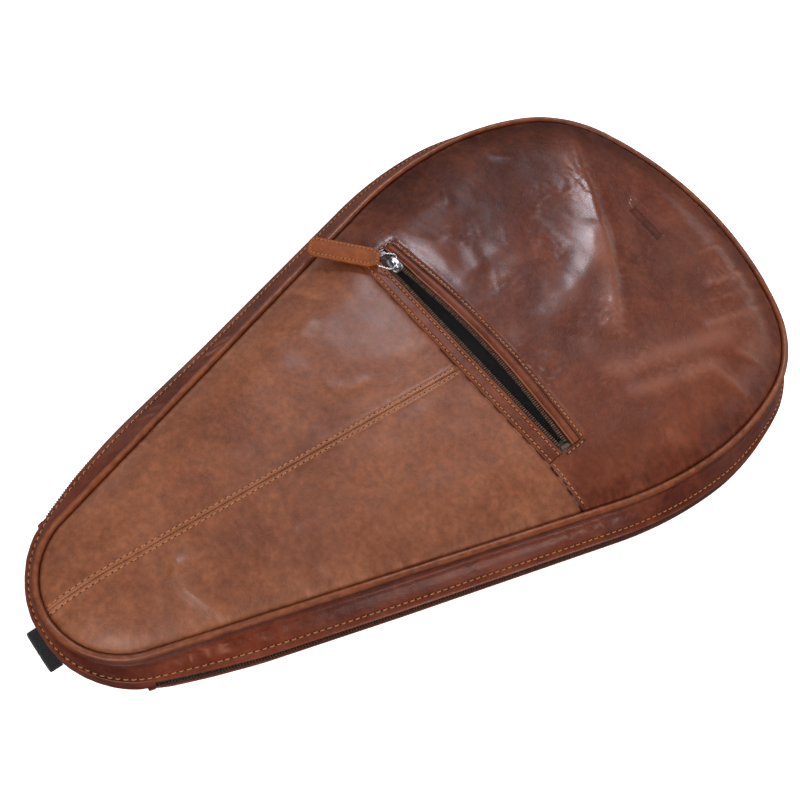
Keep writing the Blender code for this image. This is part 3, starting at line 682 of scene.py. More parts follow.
# name, dark, mid, light, then: rough, coat, coat_rough, grain, crease, cloud, seed, spec
LEATHERS = (
    ("leather_head", (60, 23, 13), (96, 42, 23), (134, 72, 46),
     0.43, 0.32, 0.20, 0.36, 0.62, 7.0, 1.0, 0.16),
    ("leather_body", (100, 51, 30), (128, 73, 46), (152, 95, 65),
     0.46, 0.18, 0.25, 0.42, 0.46, 12.0, 2.0, 0.24),
    ("leather_gusset", (68, 20, 8), (100, 37, 15), (134, 66, 38),
     0.35, 0.26, 0.20, 0.14, 0.30, 14.0, 3.0, 0.22),
    ("leather_piping", (72, 27, 9), (104, 45, 17), (146, 80, 42),
     0.40, 0.14, 0.28, 0.14, 0.22, 30.0, 4.0, 0.24),
    ("leather_tab", (112, 52, 18), (132, 66, 25), (152, 84, 38),
     0.52, 0.03, 0.32, 0.18, 0.14, 40.0, 5.0, 0.14),
    ("leather_welt", (80, 34, 17), (106, 49, 25), (142, 80, 48),
     0.44, 0.08, 0.28, 0.20, 0.30, 26.0, 6.0, 0.20),
    ("leather_back", (98, 48, 26), (118, 62, 35), (140, 82, 50),
     0.48, 0.10, 0.34, 0.20, 0.26, 9.0, 7.0, 0.26),
)
HEAD_LEATHER, BODY_LEATHER, GUSSET_LEATHER, PIPING_LEATHER, TAB_LEATHER, WELT_LEATHER, \
    BACK_LEATHER = [leather(*row) for row in LEATHERS]
THREAD = twisted("thread", dark=srgb(146, 86, 42), light=srgb(196, 132, 78))
# dark discs at the stitch ends: painted shade in the needle holes
HOLE_SHADE = plain("needle_hole_shade", srgb(24, 10, 6), srgb(38, 18, 10), rough=0.9)
TAPE = woven("zip_tape", srgb(38, 22, 16), srgb(66, 42, 30), pitch=0.0011)
TEETH = plain("zip_teeth", srgb(36, 24, 20), srgb(84, 62, 50), rough=0.36, scale=500, strength=0.1)
POCKET_TEETH = plain("pocket_teeth", srgb(52, 32, 24), srgb(110, 80, 62), rough=0.34, scale=500,
                     strength=0.1)
NICKEL = metal("nickel", (0.50, 0.51, 0.53, 1.0), rough=0.36)
LINING = woven("lining_cloth", srgb(16, 16, 18), srgb(42, 42, 46), pitch=0.0009, rough=0.6,
               strength=0.35)
WEBBING = woven("webbing", srgb(12, 12, 14), srgb(46, 46, 50), pitch=0.0017, rough=0.7,
                strength=0.9)
FOAM = plain("padding_foam", srgb(120, 118, 112), srgb(150, 148, 142), rough=0.95, scale=700,
             strength=0.6)


# ------------------------------------------------------------------ mesh helpers
def add_object(name, data):
    ob = bpy.data.objects.new(name, data)
    SCENE.collection.objects.link(ob)
    return ob


def make(name, verts, faces, mats, body, replaces=(), tone=None, mat_index=None, angle=None):
    """Smooth mesh object; angle (degrees) keeps sharper edges hard."""
    mesh = bpy.data.meshes.new(name)
    mesh.from_pydata((np.asarray(verts, float) * MM).tolist(), [], faces)
    mesh.validate(clean_customdata=False)
    mesh.update()
    for mat in mats:
        mesh.materials.append(mat)
    if mat_index is not None:
        mesh.polygons.foreach_set("material_index", np.asarray(mat_index, np.int32))
    ob = add_object(name, mesh)
    if tone is None:
        tone = np.zeros(len(verts))
    mesh.attributes.new("tone", "FLOAT", "POINT").data.foreach_set(
        "value", np.asarray(tone, np.float32))
    mesh.shade_smooth()
    if angle:
        mesh.set_sharp_from_angle(angle=radians(angle))
    if body:
        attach(ob, body)
    if replaces:
        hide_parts(*replaces)
    return ob


def outward(verts, faces):
    """Faces turned to point out of the body, judged by its four-sided faces."""
    first, second, third, fourth = verts[[f for f in faces if len(f) == 4]].transpose(1, 0, 2)
    volume = (first * (np.cross(second, third) + np.cross(third, fourth))).sum()
    return [f[::-1] for f in faces] if volume < 0 else faces


def grid_faces(rows, cols, closed_rows, closed_cols):
    faces = []
    for i in range(rows if closed_rows else rows - 1):
        here, there = i * cols, ((i + 1) % rows) * cols
        for j in range(cols if closed_cols else cols - 1):
            k = (j + 1) % cols
            faces.append((here + j, here + k, there + k, there + j))
    return faces


def sweep_faces(rows, cols, closed):
    """Closed profile of rows swept along cols, capped unless the path is closed."""
    faces = grid_faces(rows, cols, True, closed)
    if not closed:
        faces.append(tuple(i * cols for i in range(rows)))
        faces.append(tuple(i * cols + cols - 1 for i in reversed(range(rows))))
    return faces


def stack_faces(rings, count):
    """Capped stack of closed rings."""
    last = (rings - 1) * count
    return grid_faces(rings, count, False, True) + [
        tuple(range(count))[::-1], tuple(last + i for i in range(count))]


def copy_faces(bodies, faces, start=0):
    """Faces of like bodies, given as a (body, vertex, 3) array, numbered from start."""
    faces = outward(bodies[0], faces)
    size = bodies.shape[1]
    return [tuple(i + start + size * n for i in f) for n in range(len(bodies)) for f in faces]


def sweep(name, rows, closed, mat, body, replaces=(), tone=None):
    """rows: a closed profile as arrays of (n, 3) points along the path."""
    rows = np.asarray(rows)
    verts = rows.reshape(-1, 3)
    faces = outward(verts, sweep_faces(*rows.shape[:2], closed))
    return make(name, verts, faces, [mat], body, replaces,
                None if tone is None else np.asarray(tone).ravel())


def cross_2d(a, b, c):
    return (b[0] - a[0]) * (c[1] - a[1]) - (b[1] - a[1]) * (c[0] - a[0])


def fill(boundary, inner):
    """Upward triangles over a closed outline: points, faces and the boundary's indices."""
    points = [Vector([float(c) for c in p]) for p in [*boundary, *inner]]
    count = len(boundary)
    result = delaunay_2d_cdt(points, [(i, (i + 1) % count) for i in range(count)], [], 1, 1e-5)
    out, faces, origins = result[0], result[2], result[3]
    where = {}
    for i, sources in enumerate(origins):
        for source in sources:
            where[source] = i
    used = sorted({i for f in faces for i in f})
    new = {old: i for i, old in enumerate(used)}
    flat = np.array([(out[i][0], out[i][1]) for i in used])
    triangles = []
    for face in faces:
        a, b, c = (new[i] for i in face)
        if cross_2d(flat[a], flat[b], flat[c]) < 0:
            b, c = c, b
        triangles.append((a, b, c))
    loop = [new[where[i]] for i in range(count) if where.get(i) in new]
    return flat, triangles, loop


def sheet(name, boundary, inner, surface, under, mat, body, replaces=()):
    """Closed sheet: surface(x, y) gives z and tone; under is a thickness or gives z below."""
    flat, triangles, loop = fill(boundary, inner)
    z, tone = surface(flat[:, 0], flat[:, 1])
    count = len(flat)
    low = under(flat[:, 0], flat[:, 1]) if callable(under) else z - under
    verts = np.concatenate([np.column_stack([flat, z]), np.column_stack([flat, low])])
    faces = []
    for a, b, c in triangles:
        faces += [(a, b, c), (a + count, c + count, b + count)]
    area = sum(flat[i][0] * flat[j][1] - flat[j][0] * flat[i][1]
               for i, j in zip(loop, loop[1:] + loop[:1]))
    if area < 0:
        loop = loop[::-1]
    for i, j in zip(loop, loop[1:] + loop[:1]):
        faces.append((i, i + count, j + count, j))
    make(name, verts, faces, [mat], body, replaces, np.concatenate([tone, tone]), angle=60)


def hexes(step):
    """Triangular grid over the whole case."""
    rows = []
    for j, y in enumerate(np.arange(-262, 262, step * sqrt(3) / 2)):
        across = np.arange(-160 + (step / 2 if j % 2 else 0), 160, step)
        rows.append(np.column_stack([across, np.full_like(across, y)]))
    return np.concatenate(rows)


def line_points(start, end, step):
    start, end = np.array(start, float), np.array(end, float)
    count = max(1, int(round(np.linalg.norm(end - start) / step)))
    return [start + (end - start) * i / count for i in range(count)]


def arc_along(points):
    steps = np.linalg.norm(np.diff(points, axis=0), axis=1)
    return np.concatenate([[0], np.cumsum(steps)])


def sample(at, arc, values):
    return np.stack([np.interp(at, arc, values[:, i]) for i in range(3)], 1)


# ------------------------------------------------------------------ thread and zip teeth
# stitch stations: share of its length, share of its rise, share of its radius
STITCH = ((-0.5, -0.45, 0.30), (-0.40, 0.10, 0.80), (-0.2, 0.85, 1.0), (0.0, 1.0, 1.0),
          (0.2, 0.85, 1.0), (0.40, 0.10, 0.80), (0.5, -0.45, 0.30))
STITCH_SIDES, HOLE_SIDES = 6, 8
HOLE_RINGS = ((1.0, -0.25), (1.0, 0.05), (0.6, 0.12))      # share of radius, height
STITCH_SLANT = 6.0                                         # degrees


def run_frames(at, arc, points, normals):
    """Points, tangents and normals at places along a run."""
    ahead, behind = np.minimum(at + 0.6, arc[-1]), np.maximum(at - 0.6, 0)
    return (sample(at, arc, points), unit(sample(ahead, arc, points) - sample(behind, arc, points)),
            unit(sample(at, arc, normals)))


def stitches(name, runs, body, pitch, seed, length=0.80, radius=0.42, rise=0.34, hole=0.46):
    """Small arched threads along runs of (points, normals), with dark discs between as painted shade
    in the needle holes.

    length is a share of the pitch."""
    random = np.random.RandomState(seed)
    threads, holes = [], []
    for points, normals in runs:
        arc = arc_along(points)
        count = max(1, int(round(arc[-1] / pitch)))
        step = arc[-1] / count
        threads.append(run_frames((np.arange(count) + 0.5) * step, arc, points, normals))
        holes.append(run_frames(np.arange(count + 1) * step, arc, points, normals))

    centre, ahead, normal = (np.concatenate(part) for part in zip(*threads))
    side = unit(np.cross(normal, ahead))
    raised = np.cross(ahead, side)
    angle = np.radians(STITCH_SLANT + random.normal(0, 2.5, len(centre)))
    turned = ahead * np.cos(angle)[:, None] + side * np.sin(angle)[:, None]
    across = np.cross(raised, turned)
    size = pitch * length * (1 + random.normal(0, 0.03, len(centre)))
    verts = []
    for share, high, wide in STITCH:
        middle = centre + turned * (share * size)[:, None] + raised * (high * rise)
        thick = wide * radius
        for turn in turns(STITCH_SIDES):
            verts.append(middle + across * (thick * cos(turn))
                         + raised * (thick * 0.85 * sin(turn)))
    bodies = np.stack(verts, 1)
    faces = copy_faces(bodies, stack_faces(len(STITCH), STITCH_SIDES))
    all_verts = bodies.reshape(-1, 3)
    thread_count = len(faces)

    centre, ahead, normal = (np.concatenate(part) for part in zip(*holes))
    side = unit(np.cross(normal, ahead))
    verts = []
    for share, high in HOLE_RINGS:
        for turn in turns(HOLE_SIDES):
            verts.append(centre + ahead * (hole * share * 1.15 * cos(turn))
                         + side * (hole * share * sin(turn)) + normal * high)
    bodies = np.stack(verts, 1)
    faces += copy_faces(bodies, stack_faces(len(HOLE_RINGS), HOLE_SIDES), len(all_verts))
    all_verts = np.concatenate([all_verts, bodies.reshape(-1, 3)])
    index = [0] * thread_count + [1] * (len(faces) - thread_count)
    make(name, all_verts, faces, [THREAD, HOLE_SHADE], body, mat_index=index)


TOOTH_ALONG, TOOTH_ACROSS, TOOTH_THICK = 1.15, 2.5, 1.7
TOOTH_SECTION = ((-0.5, -0.30), (-0.32, 0.42), (0.0, 0.5), (0.32, 0.42), (0.5, -0.30), (0.0, -0.5))
TOOTH_STATIONS = ((-0.5, 0.80), (-0.42, 1.0), (0.25, 1.0), (0.44, 0.86), (0.5, 0.5))  # place, size


def teeth_row(name, points, out, across, mat, body, pitch, replaces, phase):
    """Zip teeth along a path, pointing along 'across' from their tape."""
    arc = arc_along(points)
    at = (np.arange(int(arc[-1] / pitch)) + 0.5 + phase) * pitch
    at = at[at < arc[-1] - pitch * 0.4]
    middle = sample(at, arc, points)
    ahead, out, across = (unit(sample(at, arc, a))
                          for a in (np.gradient(points, axis=0), out, across))
    verts = []
    for reach, size in TOOTH_STATIONS:
        for x, y in TOOTH_SECTION:
            verts.append(middle + across * (reach * TOOTH_ACROSS) + ahead * (x * TOOTH_ALONG * size)
                         + out * (y * TOOTH_THICK * (0.55 + 0.45 * size)))
    bodies = np.stack(verts, 1)
    faces = copy_faces(bodies, stack_faces(len(TOOTH_STATIONS), len(TOOTH_SECTION)))
    make(name, bodies.reshape(-1, 3), faces, [mat], body, replaces, angle=35)


# ------------------------------------------------------------------ front panels
PANEL_INSET = 2.0
EDGE_STEP, ROW_STEP = 1.7 * FINE, 1.8 * FINE


def edge_crossing(value, start, end):
    """Arc length where value(x, y) changes sign on the panels' edge."""
    arc = np.linspace(start, end, 4001)
    points = place(arc, -PANEL_INSET, 0.0)
    values = value(points[:, 0], points[:, 1])
    i = int(np.nonzero(np.sign(values[:-1]) != np.sign(values[1:]))[0][0])
    part = values[i] / (values[i] - values[i + 1])
    return float(arc[i] + (arc[i + 1] - arc[i]) * part)


def above_seam(x, y):
    return to_pocket(x, y)[1]


def edge_points(start, end):
    count = max(2, int(round((end - start) / EDGE_STEP)))
    arc = start + (end - start) * np.arange(count) / count
    return list(place(arc, -PANEL_INSET, 0.0)[:, :2])


def edge_point(arc):
    return place(np.array([arc]), -PANEL_INSET, 0)[0, :2]


def pocket_points(along, above):
    return np.column_stack(from_pocket(along, above))


def chain_lines(*corners):
    return [p for a, b in zip(corners, corners[1:]) for p in line_points(a, b, EDGE_STEP)]


ARC_RIGHT = edge_crossing(above_seam, 150, RING_LEN / 2)
ARC_LEFT = edge_crossing(above_seam, RING_LEN / 2, RING_LEN - 150)
ARC_TIP = edge_crossing(seam_side, RING_LEN - 20, RING_LEN + 20)
SEAM_TIP, RIGHT_END, LEFT_END = edge_point(ARC_TIP), edge_point(ARC_RIGHT), edge_point(ARC_LEFT)
# where the centre seam meets the cross seam
SEAM_TOP = SEAM_A + SEAM_DIR * (-to_pocket(*SEAM_A)[1]
                                / (SEAM_DIR[0] * -POCKET_SIN + SEAM_DIR[1] * POCKET_COS))


def panel_outlines():
    """Closed outlines of the lower right, lower left and head panels."""
    right = edge_points(ARC_TIP - RING_LEN, ARC_RIGHT) + chain_lines(RIGHT_END, SEAM_TOP, SEAM_TIP)
    left = edge_points(ARC_LEFT, ARC_TIP) + chain_lines(SEAM_TIP, SEAM_TOP, LEFT_END)
    low_left, low_right, top_left, top_right = [
        np.array(from_pocket(side * POCKET_HALF, above))
        for above in (0.0, LIP_ABOVE) for side in (-1, 1)]
    along = np.linspace(POCKET_HALF, -POCKET_HALF, int(2 * POCKET_HALF / EDGE_STEP) + 1)[::-1][:-1]
    head = edge_points(ARC_RIGHT, ARC_LEFT) + chain_lines(LEFT_END, low_left, top_left) \
        + [np.array(from_pocket(a, lip(a))) for a in along] \
        + chain_lines(top_right, low_right, RIGHT_END)
    return right, left, head


def panel_points():
    """Mesh points of the front: rows along rim, seams and window, a grid, and a fine emboss."""
    rows = [inset_line(inset, (1.5 if inset < 6 else 1.9) * FINE)
            for inset in (2.7, 3.5, 4.5, 5.7, 7.2, 9.0)]
    seam = np.array(line_points(SEAM_A, SEAM_B, ROW_STEP))
    for aside in (0.45, 1.1, 1.8, 2.45, 3.1, 4.0, 5.4):
        rows += [seam + SEAM_RIGHT * aside * side for side in (-1, 1)]
    along = np.arange(-130, 130, ROW_STEP)
    for above in (-5.2, -3.4, -2.0, -1.0, 0.6, 1.2, 1.8, 2.4, 3.0, 3.8, 5.2):
        rows.append(pocket_points(along, above))
    along = np.arange(-93, 93, ROW_STEP)
    for gap in (0.7, 1.5, 2.2, 2.9, 3.8, 5.0, 6.6):
        rows.append(pocket_points(along, lip(along) + gap))
    above = np.arange(1, 34, ROW_STEP)
    for gap in (0.8, 1.4, 2.0, 2.6, 3.4, 4.6):
        rows += [pocket_points(side * (POCKET_HALF + gap) + 0 * above, above) for side in (-1, 1)]
    grid = hexes(2.0 * FINE)
    x, y = grid.T
    along, above = to_pocket(x, y)
    keep = (rim_at(x, y)[0] > 10.2) & ~((np.abs(seam_side(x, y)) < 6.4) & (above < 0))
    keep &= ~((above > -6.4) & (above < 6.4))
    keep &= ~((np.abs(along) < 93) & (above > 0) & (above < lip(along) + 7.8))
    keep &= ~((np.abs(x - EMBOSS_X) < 23.3) & (np.abs(y - EMBOSS_Y) < 8.2))
    x, y = np.meshgrid(np.arange(-22.5, 22.6, 0.75 * FINE), np.arange(-7.5, 7.6, 0.6 * FINE))
    emboss = np.column_stack([EMBOSS_X + x.ravel(), EMBOSS_Y + y.ravel()])
    return np.concatenate([*rows, grid[keep], emboss])


def panel_under(x, y):
    depth = rim_at(x, y)[0]
    return Z_FRONT - 2.6 + dome(depth) - 1.5 * bell(np.maximum(depth, 0), 0, 3)


def front_panels():
    right_edge, left_edge, head_edge = panel_outlines()
    points = panel_points()
    x, y = points.T
    along, above = to_pocket(x, y)
    aside = seam_side(x, y)
    inside = rim_at(x, y)[0] > PANEL_INSET + 0.45
    low = inside & (above < -0.4)
    window = (np.abs(along) < POCKET_HALF + 0.5) & (above < lip(along) + 0.5)
    for name, edge, chosen, mat, slot, replaces in (
            ("lower_left_leather", left_edge, low & (aside < -0.3), BODY_LEATHER, "tan_leather",
             ["lower_left_panel"]),
            ("lower_right_leather", right_edge, low & (aside > 0.3), BODY_LEATHER, "tan_leather",
             ["lower_right_panel", "centre_seam_tape"]),
            ("head_leather", head_edge, inside & (above > 0.4) & ~window, HEAD_LEATHER,
             "dark_leather", ["upper_front_panel"])):
        sheet(name, edge, points[chosen], front_surface, panel_under, mat, "front_cover",
              replaces)


front_panels()


# ------------------------------------------------------------------ thread on the front
def front_run(x, y):
    return np.column_stack([x, y, front_surface(x, y)[0]]), front_normals(x, y)


def seam_run(aside):
    length = float(np.linalg.norm(SEAM_TOP - SEAM_A))
    along = np.arange(3.6, length - 1.0, 1.5)
    return front_run(SEAM_A[0] + SEAM_DIR[0] * along + SEAM_RIGHT[0] * aside,
                     SEAM_A[1] + SEAM_DIR[1] * along + SEAM_RIGHT[1] * aside)


def pocket_run(along, above):
    return front_run(*from_pocket(along, above))


def front_threads():
    stitches("centre_seam_thread", [seam_run(-SEAM_ROW), seam_run(SEAM_ROW)], "front_cover",
             pitch=3.8, length=0.74, seed=3, radius=0.52, rise=0.42, hole=0.60)
    left = np.arange(float(to_pocket(*LEFT_END)[0]) + 2.5, -88.5, 1.5)
    right = np.arange(88.5, float(to_pocket(*RIGHT_END)[0]) - 2.5, 1.5)
    stitches("cross_seam_thread", [pocket_run(left, 2.4), pocket_run(right, 2.4)], "front_cover",
             pitch=3.3, seed=4)
    along = np.arange(-87, 87.1, 1.5)
    stitches("pocket_edge_thread", [pocket_run(along, lip(along) + 2.2)], "front_cover",
             pitch=3.2, seed=5)
    above = np.arange(14.5, 29.0, 1.2)
    ends = [pocket_run(np.full_like(above, along), above) for along in (89.8, -89.8)]
    stitches("pocket_end_thread", ends, "front_cover", pitch=3.4, seed=6,
             radius=0.45, hole=0.72)


front_threads()

# ------------------------------------------------------------------ pocket
STRIP_ALONG = np.linspace(-87.6, 87.6, int(175 / (1.6 * FINE)))
# placket section: above the cross seam, height over the crown, tone; the tone paints highlights on
# the rolled edges and shade in the stitch grooves and underneath
PLACKET = (
    (0.25, -1.0, -0.6), (0.15, 0.0, -0.3), (0.4, 0.42, 0.25), (1.1, 0.62, 0.2), (1.8, 0.55, 0.0),
    (2.4, 0.25, -0.2), (3.0, 0.55, 0.0), (4.2, 0.62, 0.1), (6.0, 0.55, 0.0), (7.6, 0.62, 0.05),
    (8.5, 0.55, 0.0), (9.2, 0.28, -0.2), (9.9, 0.55, 0.1), (10.9, 0.72, 0.35), (11.6, 0.55, 0.45),
    (11.95, 0.1, 0.0), (11.9, -0.9, -0.8), (6.0, -1.1, -0.8))
# welt section: from the window's upper edge, height over the crown, tone; the tone paints highlights
# on the crown and the bead and shade in the groove and underneath
WELT = (
    (-0.3, -1.1, -0.8), (-0.35, 0.0, -0.6), (-0.9, 0.75, -0.1), (-1.9, 1.25, 0.15),
    (-3.2, 1.45, 0.25), (-4.5, 1.30, 0.1), (-5.5, 0.85, -0.1), (-5.9, 0.50, -0.7),
    (-6.2, 0.55, -0.5), (-6.6, 0.95, 0.5), (-7.2, 1.05, 0.8), (-7.7, 0.70, 0.3),
    (-7.8, 0.1, -0.6), (-7.4, -0.9, -0.8), (-4.0, -1.2, -0.8))


def pocket_strip(name, along, section, mat, replaces):
    """Strip swept along the pocket; section holds (above, height over the crown, tone)."""
    rows, tones = [], []
    for above, height, tone in section:
        x, y = from_pocket(along, above)
        rows.append(np.column_stack([x, y, crown_z(along, above) + height]))
        tones.append(np.zeros_like(along) + tone)
    sweep(name, rows, False, mat, "front_cover", replaces, tones)


def placket():
    along = STRIP_ALONG
    wobble = 0.18 * noise(along / 13, 0, 31) + 0.10 * noise(along / 5, 0, 32)
    section = []
    for above, height, tone in PLACKET:
        loose = (0.3 if height < 0 else 1.0) * (0.4 + 0.6 * sin(pi * min(above, 12) / 12))
        section.append((above, height + wobble * loose, tone))
    pocket_strip("placket", along, section, WELT_LEATHER, ["pocket_placket"])
    runs = [(np.column_stack([*from_pocket(along, above), crown_z(along, above) + height]),
             np.tile((0.0, 0.0, 1.0), (len(along), 1)))
            for above, height in ((2.4, 0.35), (9.2, 0.38))]
    stitches("placket_thread", runs, "front_cover", pitch=3.3, seed=7)


def welt():
    """Folded lip along the upper edge of the mouth, with a bead at the zip side."""
    along = STRIP_ALONG
    wobble = 0.10 * noise(along / 9, 0, 41) + 0.06 * noise(along / 3, 0, 42)
    section = []
    for gap, height, tone in WELT:
        room = 1 - 0.11 * smooth(56, 70, np.abs(along)) * (gap < -5)
        loose = 1.0 if height > 0.2 else 0.2
        section.append((lip(along) + gap * room, height + wobble * loose, tone))
    pocket_strip("pocket_welt", along, section, WELT_LEATHER, ["pocket_lip"])


def pocket_tape(name, along, low, high, replaces):
    middle = 0.5 * (low + high)
    section = [(low, -2.0, 0.0), (middle, -1.9, 0.0), (high, -2.0, 0.0),
               (high, -2.6, 0.0), (middle, -2.5, 0.0), (low, -2.6, 0.0)]
    pocket_strip(name, along, section, TAPE, replaces)


def pocket_teeth(name, along, above, side, replaces, phase):
    x, y = from_pocket(along, above)
    points = np.column_stack([x, y, crown_z(along, above) - 0.5])
    out = np.tile((0.0, 0.0, 1.0), (len(along), 1))
    across = np.cross(out, np.gradient(points, axis=0)) * side
    teeth_row(name, points, out, across, POCKET_TEETH, "front_cover", 1.5, replaces, phase)


def lining_bag():
    """Soft bag of two plies joined by a rounded edge, sagging between its seams."""
    half, mouth, end, row_count = 80, 14.4, 117.5, 40
    along = np.linspace(-half, half, 56)

    def ply(top, inner):
        rows = []
        for j in range(row_count):
            part = j / (row_count - 1)
            above = mouth + (end - mouth) * part + np.zeros_like(along)
            if top:
                above = above + (lip(along) - 8.6 - mouth) * (1 - part) * (np.abs(along) < 78)
            free = np.clip(1 - (np.abs(along) / half) ** 10, 0, 1) * np.clip(1 - part ** 12, 0, 1)
            slack = 0.5 * noise(along / 17, above / 17, 51 + top) \
                + 0.25 * noise(along / 7, above / 7, 53 + top)
            level = 53.0 - 1.6 * sin(pi * part) if top else 46.6 + 0.5 * sin(pi * part)
            z = (level + slack * free) * free + 49.8 * (1 - free)
            if inner:
                z = z + (-0.5 if top else 0.5) * free
            rows.append(np.column_stack([*from_pocket(along, above), z]))
        return rows

    rows = ply(False, False) + ply(True, False)[::-1] + ply(True, True) + ply(False, True)[::-1]
    sweep("pocket_lining_bag", rows, False, LINING, "front_cover", ["pocket_bag"])


def pocket():
    placket()
    welt()
    along = np.linspace(-84.5, 84.5, 90)
    pocket_tape("placket_tape", along, 3.0, PLACKET_TOP + 1.3, ["pocket_tape_lower"])
    pocket_tape("welt_tape", along, lip(along) - 9.3, lip(along) - 1.6, ["pocket_tape_upper"])
    along = np.linspace(-83.4, 83.4, 200)
    pocket_teeth("placket_teeth", along, 13.5, 1, ["pocket_teeth_lower"], phase=0.0)
    pocket_teeth("welt_teeth", along, lip(along) - 9.2, -1, ["pocket_teeth_upper"], phase=0.5)
    lining_bag()


pocket()


# ------------------------------------------------------------------ piping
def piping(name, z, radius, replaces, seed, body):
    arc = ring_arcs(1.5 * FINE)
    wobble = 0.10 * noise(arc / 7, 0, seed) + 0.05 * noise(arc / 2.6, 0, seed + 1)
    facing = 1 if z > Z_ZIP else -1
    rows, tones = [], []
    for turn in turns(16):
        thick = radius * (1 + 0.03 * cos(2 * turn)) + wobble * (0.6 + 0.4 * sin(3 * turn))
        rows.append(place(arc, thick * cos(turn), z + thick * sin(turn)))
        # tone: painted highlight along the cord's crown away from the zip, painted shade on its side
        # towards the panel
        tones.append(0.55 * max(0, sin(turn) * facing) ** 2
                     + 0.25 * noise(arc / 4, turn, seed + 2) - 0.6 * (cos(turn - pi) > 0.86))
    sweep(name, rows, True, PIPING_LEATHER, body, replaces, tones)


piping("front_piping_cord", Z_FRONT + 0.1, 2.25, ["front_piping"], 61, "front_cover")
piping("back_piping_cord", Z_BACK - 0.2, 2.1, ["back_piping"], 64, "back_shell")

# ------------------------------------------------------------------ gussets
FRONT_ROW, BACK_ROW = 29.7, 14.4       # heights of the stitch rows
# clusters of folds in the front gusset: arc length, width, weight
CLUSTERS = ((96, 27, 1.7), (610, 40, 1.0), (330, 22, 0.7), (1106, 22, 1.5), (1158, 14, 1.3),
            (1190, 10, 0.9))
FRONT_LEVELS = np.concatenate([
    np.linspace(43.0, 31.2, int(15 / FINE)),
    [30.5, 30.1, 29.7, 29.3, 28.9, 28.4, 27.8, 27.3, 27.0, 26.8]])
BACK_LEVELS = np.concatenate([
    np.linspace(7.0, 13.0, int(9 / FINE)),
    [13.6, 14.0, 14.4, 14.8, 15.3, 16.0, 16.8, 17.6, 18.2, 18.6, 18.9]])


def front_wall(arc, z):
    """Offset of the front gusset's outer face, and how much its fold crests are lightened, partly as
    wear and partly as painted sheen.
    """
    tip = 1 - smooth(CHAIN_START * 0.9, CHAIN_START * 2.4, np.minimum(arc, RING_LEN - arc))
    off = splay(joint_at(arc)) * wall(z)
    # roll under the piping, groove below it, stitch groove, edge roll
    off = off + (0.45 + 1.35 * tip) * bell(z, 40.4, 1.5) - (0.2 + 0.7 * tip) * bell(z, 37.4, 1.5)
    off = off - 0.40 * bell(z, FRONT_ROW, 0.65) + (0.5 + 1.0 * (1 - tip)) * bell(z, 27.0, 2.2)
    # leaning folds
    band = smooth(31.2, 34.5, z) * (1 - smooth(38.0, 42.8, z))
    where = np.clip(noise(arc / 55, 0, 71) * 1.5 + 0.25, 0, 1)
    cluster = sum(weight * bell(arc, at, width) for at, width, weight in CLUSTERS)
    amount = 0.14 + 0.38 * where + 0.75 * np.clip(cluster, 0, 1.7)
    lean = (z - 35) * 0.95 + 3.4 * noise(arc / 11, z / 7, 75)
    folds = np.clip(ridged((arc + lean) / 7.5, z / 30, 72) - 0.25, -0.4, 1)
    small = noise((arc - lean) / 3.1, z / 10, 73)
    off = off + amount * band * (0.62 * folds + 0.22 * small)
    off = off + 0.7 * noise(arc / 48, 0, 74) * np.sin(np.clip((z - 27) / 16, 0, 1) * pi)
    return off, amount * band * np.clip(folds, 0, 1)


def back_wall(arc, z):
    """The same for the back gusset."""
    side = smooth(CHAIN_START * 0.75, CHAIN_START * 1.15, np.minimum(arc, RING_LEN - arc))
    off = splay(joint_at(arc)) * wall(z)
    off = off + (0.4 + 1.9 * side) * bell(z, 18.8, 2.4) - 0.35 * bell(z, BACK_ROW, 0.6)
    band = smooth(12.6, 11.0, z) * smooth(6.8, 8.6, z)
    folds = np.clip(ridged(arc / 7.0, z / 16, 82) - 0.2, -0.4, 1)
    where = np.clip(noise(arc / 50, 0, 81) * 1.5 + 0.3, 0, 1)
    off = off + (0.12 + 0.45 * where) * band * 0.6 * folds
    off = off + 0.35 * noise(arc / 45, 0, 84) * np.sin(np.clip((z - 7) / 10, 0, 1) * pi)
    return off, where * band * np.clip(folds, 0, 1)


def gusset(name, levels, wall_fn, body, replaces, to_zip):
    """Wall leather from the piping to its rolled edge beside the zip, and back inside."""
    arc = ring_arcs(1.5 * FINE)
    joint = joint_at(arc)
    last = levels[-1]
    rows, tones = [], []
    for z in levels:
        off, rub_and_sheen = wall_fn(arc, z)
        rows.append(place(arc, off, z))
        # tone: fold crests lighter (wear and painted sheen), lighter along the rolled edge, painted
        # shade in the groove beside the piping
        tones.append(0.9 * rub_and_sheen + 0.22 * noise(arc / 22, z / 9, 76)
                     + 0.45 * bell(z, levels[-3], 0.9) - 1.2 * bell(z, levels[0], 1.6))
    for rise, inward in ((0.45, -0.35), (0.55, -0.85), (0.45, -1.3)):
        rows.append(place(arc, off + inward * square(joint, last), last + rise * to_zip))
        tones.append(0 * arc - 0.3)
    for z in levels[::-3]:
        rows.append(place(arc, wall_fn(arc, z)[0] - LEATHER * square(joint, z), z))
        tones.append(0 * arc)
    sweep(name, rows, True, GUSSET_LEATHER, body, replaces, tones)


def wall_thread(name, wall_fn, z, body, seed):
    arc = np.append(np.arange(0, RING_LEN, 2.0), RING_LEN)
    slope = (wall_fn(arc, z + 1.2)[0] - wall_fn(arc, z - 1.2)[0]) / 2.4
    out_x, out_y = ring_at(arc)[2:]
    run = place(arc, wall_fn(arc, z)[0], z), unit(np.column_stack([out_x, out_y, -slope]))
    stitches(name, [run], body, pitch=4.2, length=0.72, seed=seed, radius=0.47,
             rise=0.45, hole=0.55)


gusset("front_gusset_leather", FRONT_LEVELS, front_wall, "front_cover", ["front_gusset"], -1)
gusset("back_gusset_leather", BACK_LEVELS, back_wall, "back_shell", ["back_gusset"], 1)
wall_thread("front_gusset_thread", front_wall, FRONT_ROW, "front_cover", seed=8)
wall_thread("back_gusset_thread", back_wall, BACK_ROW, "back_shell", seed=9)

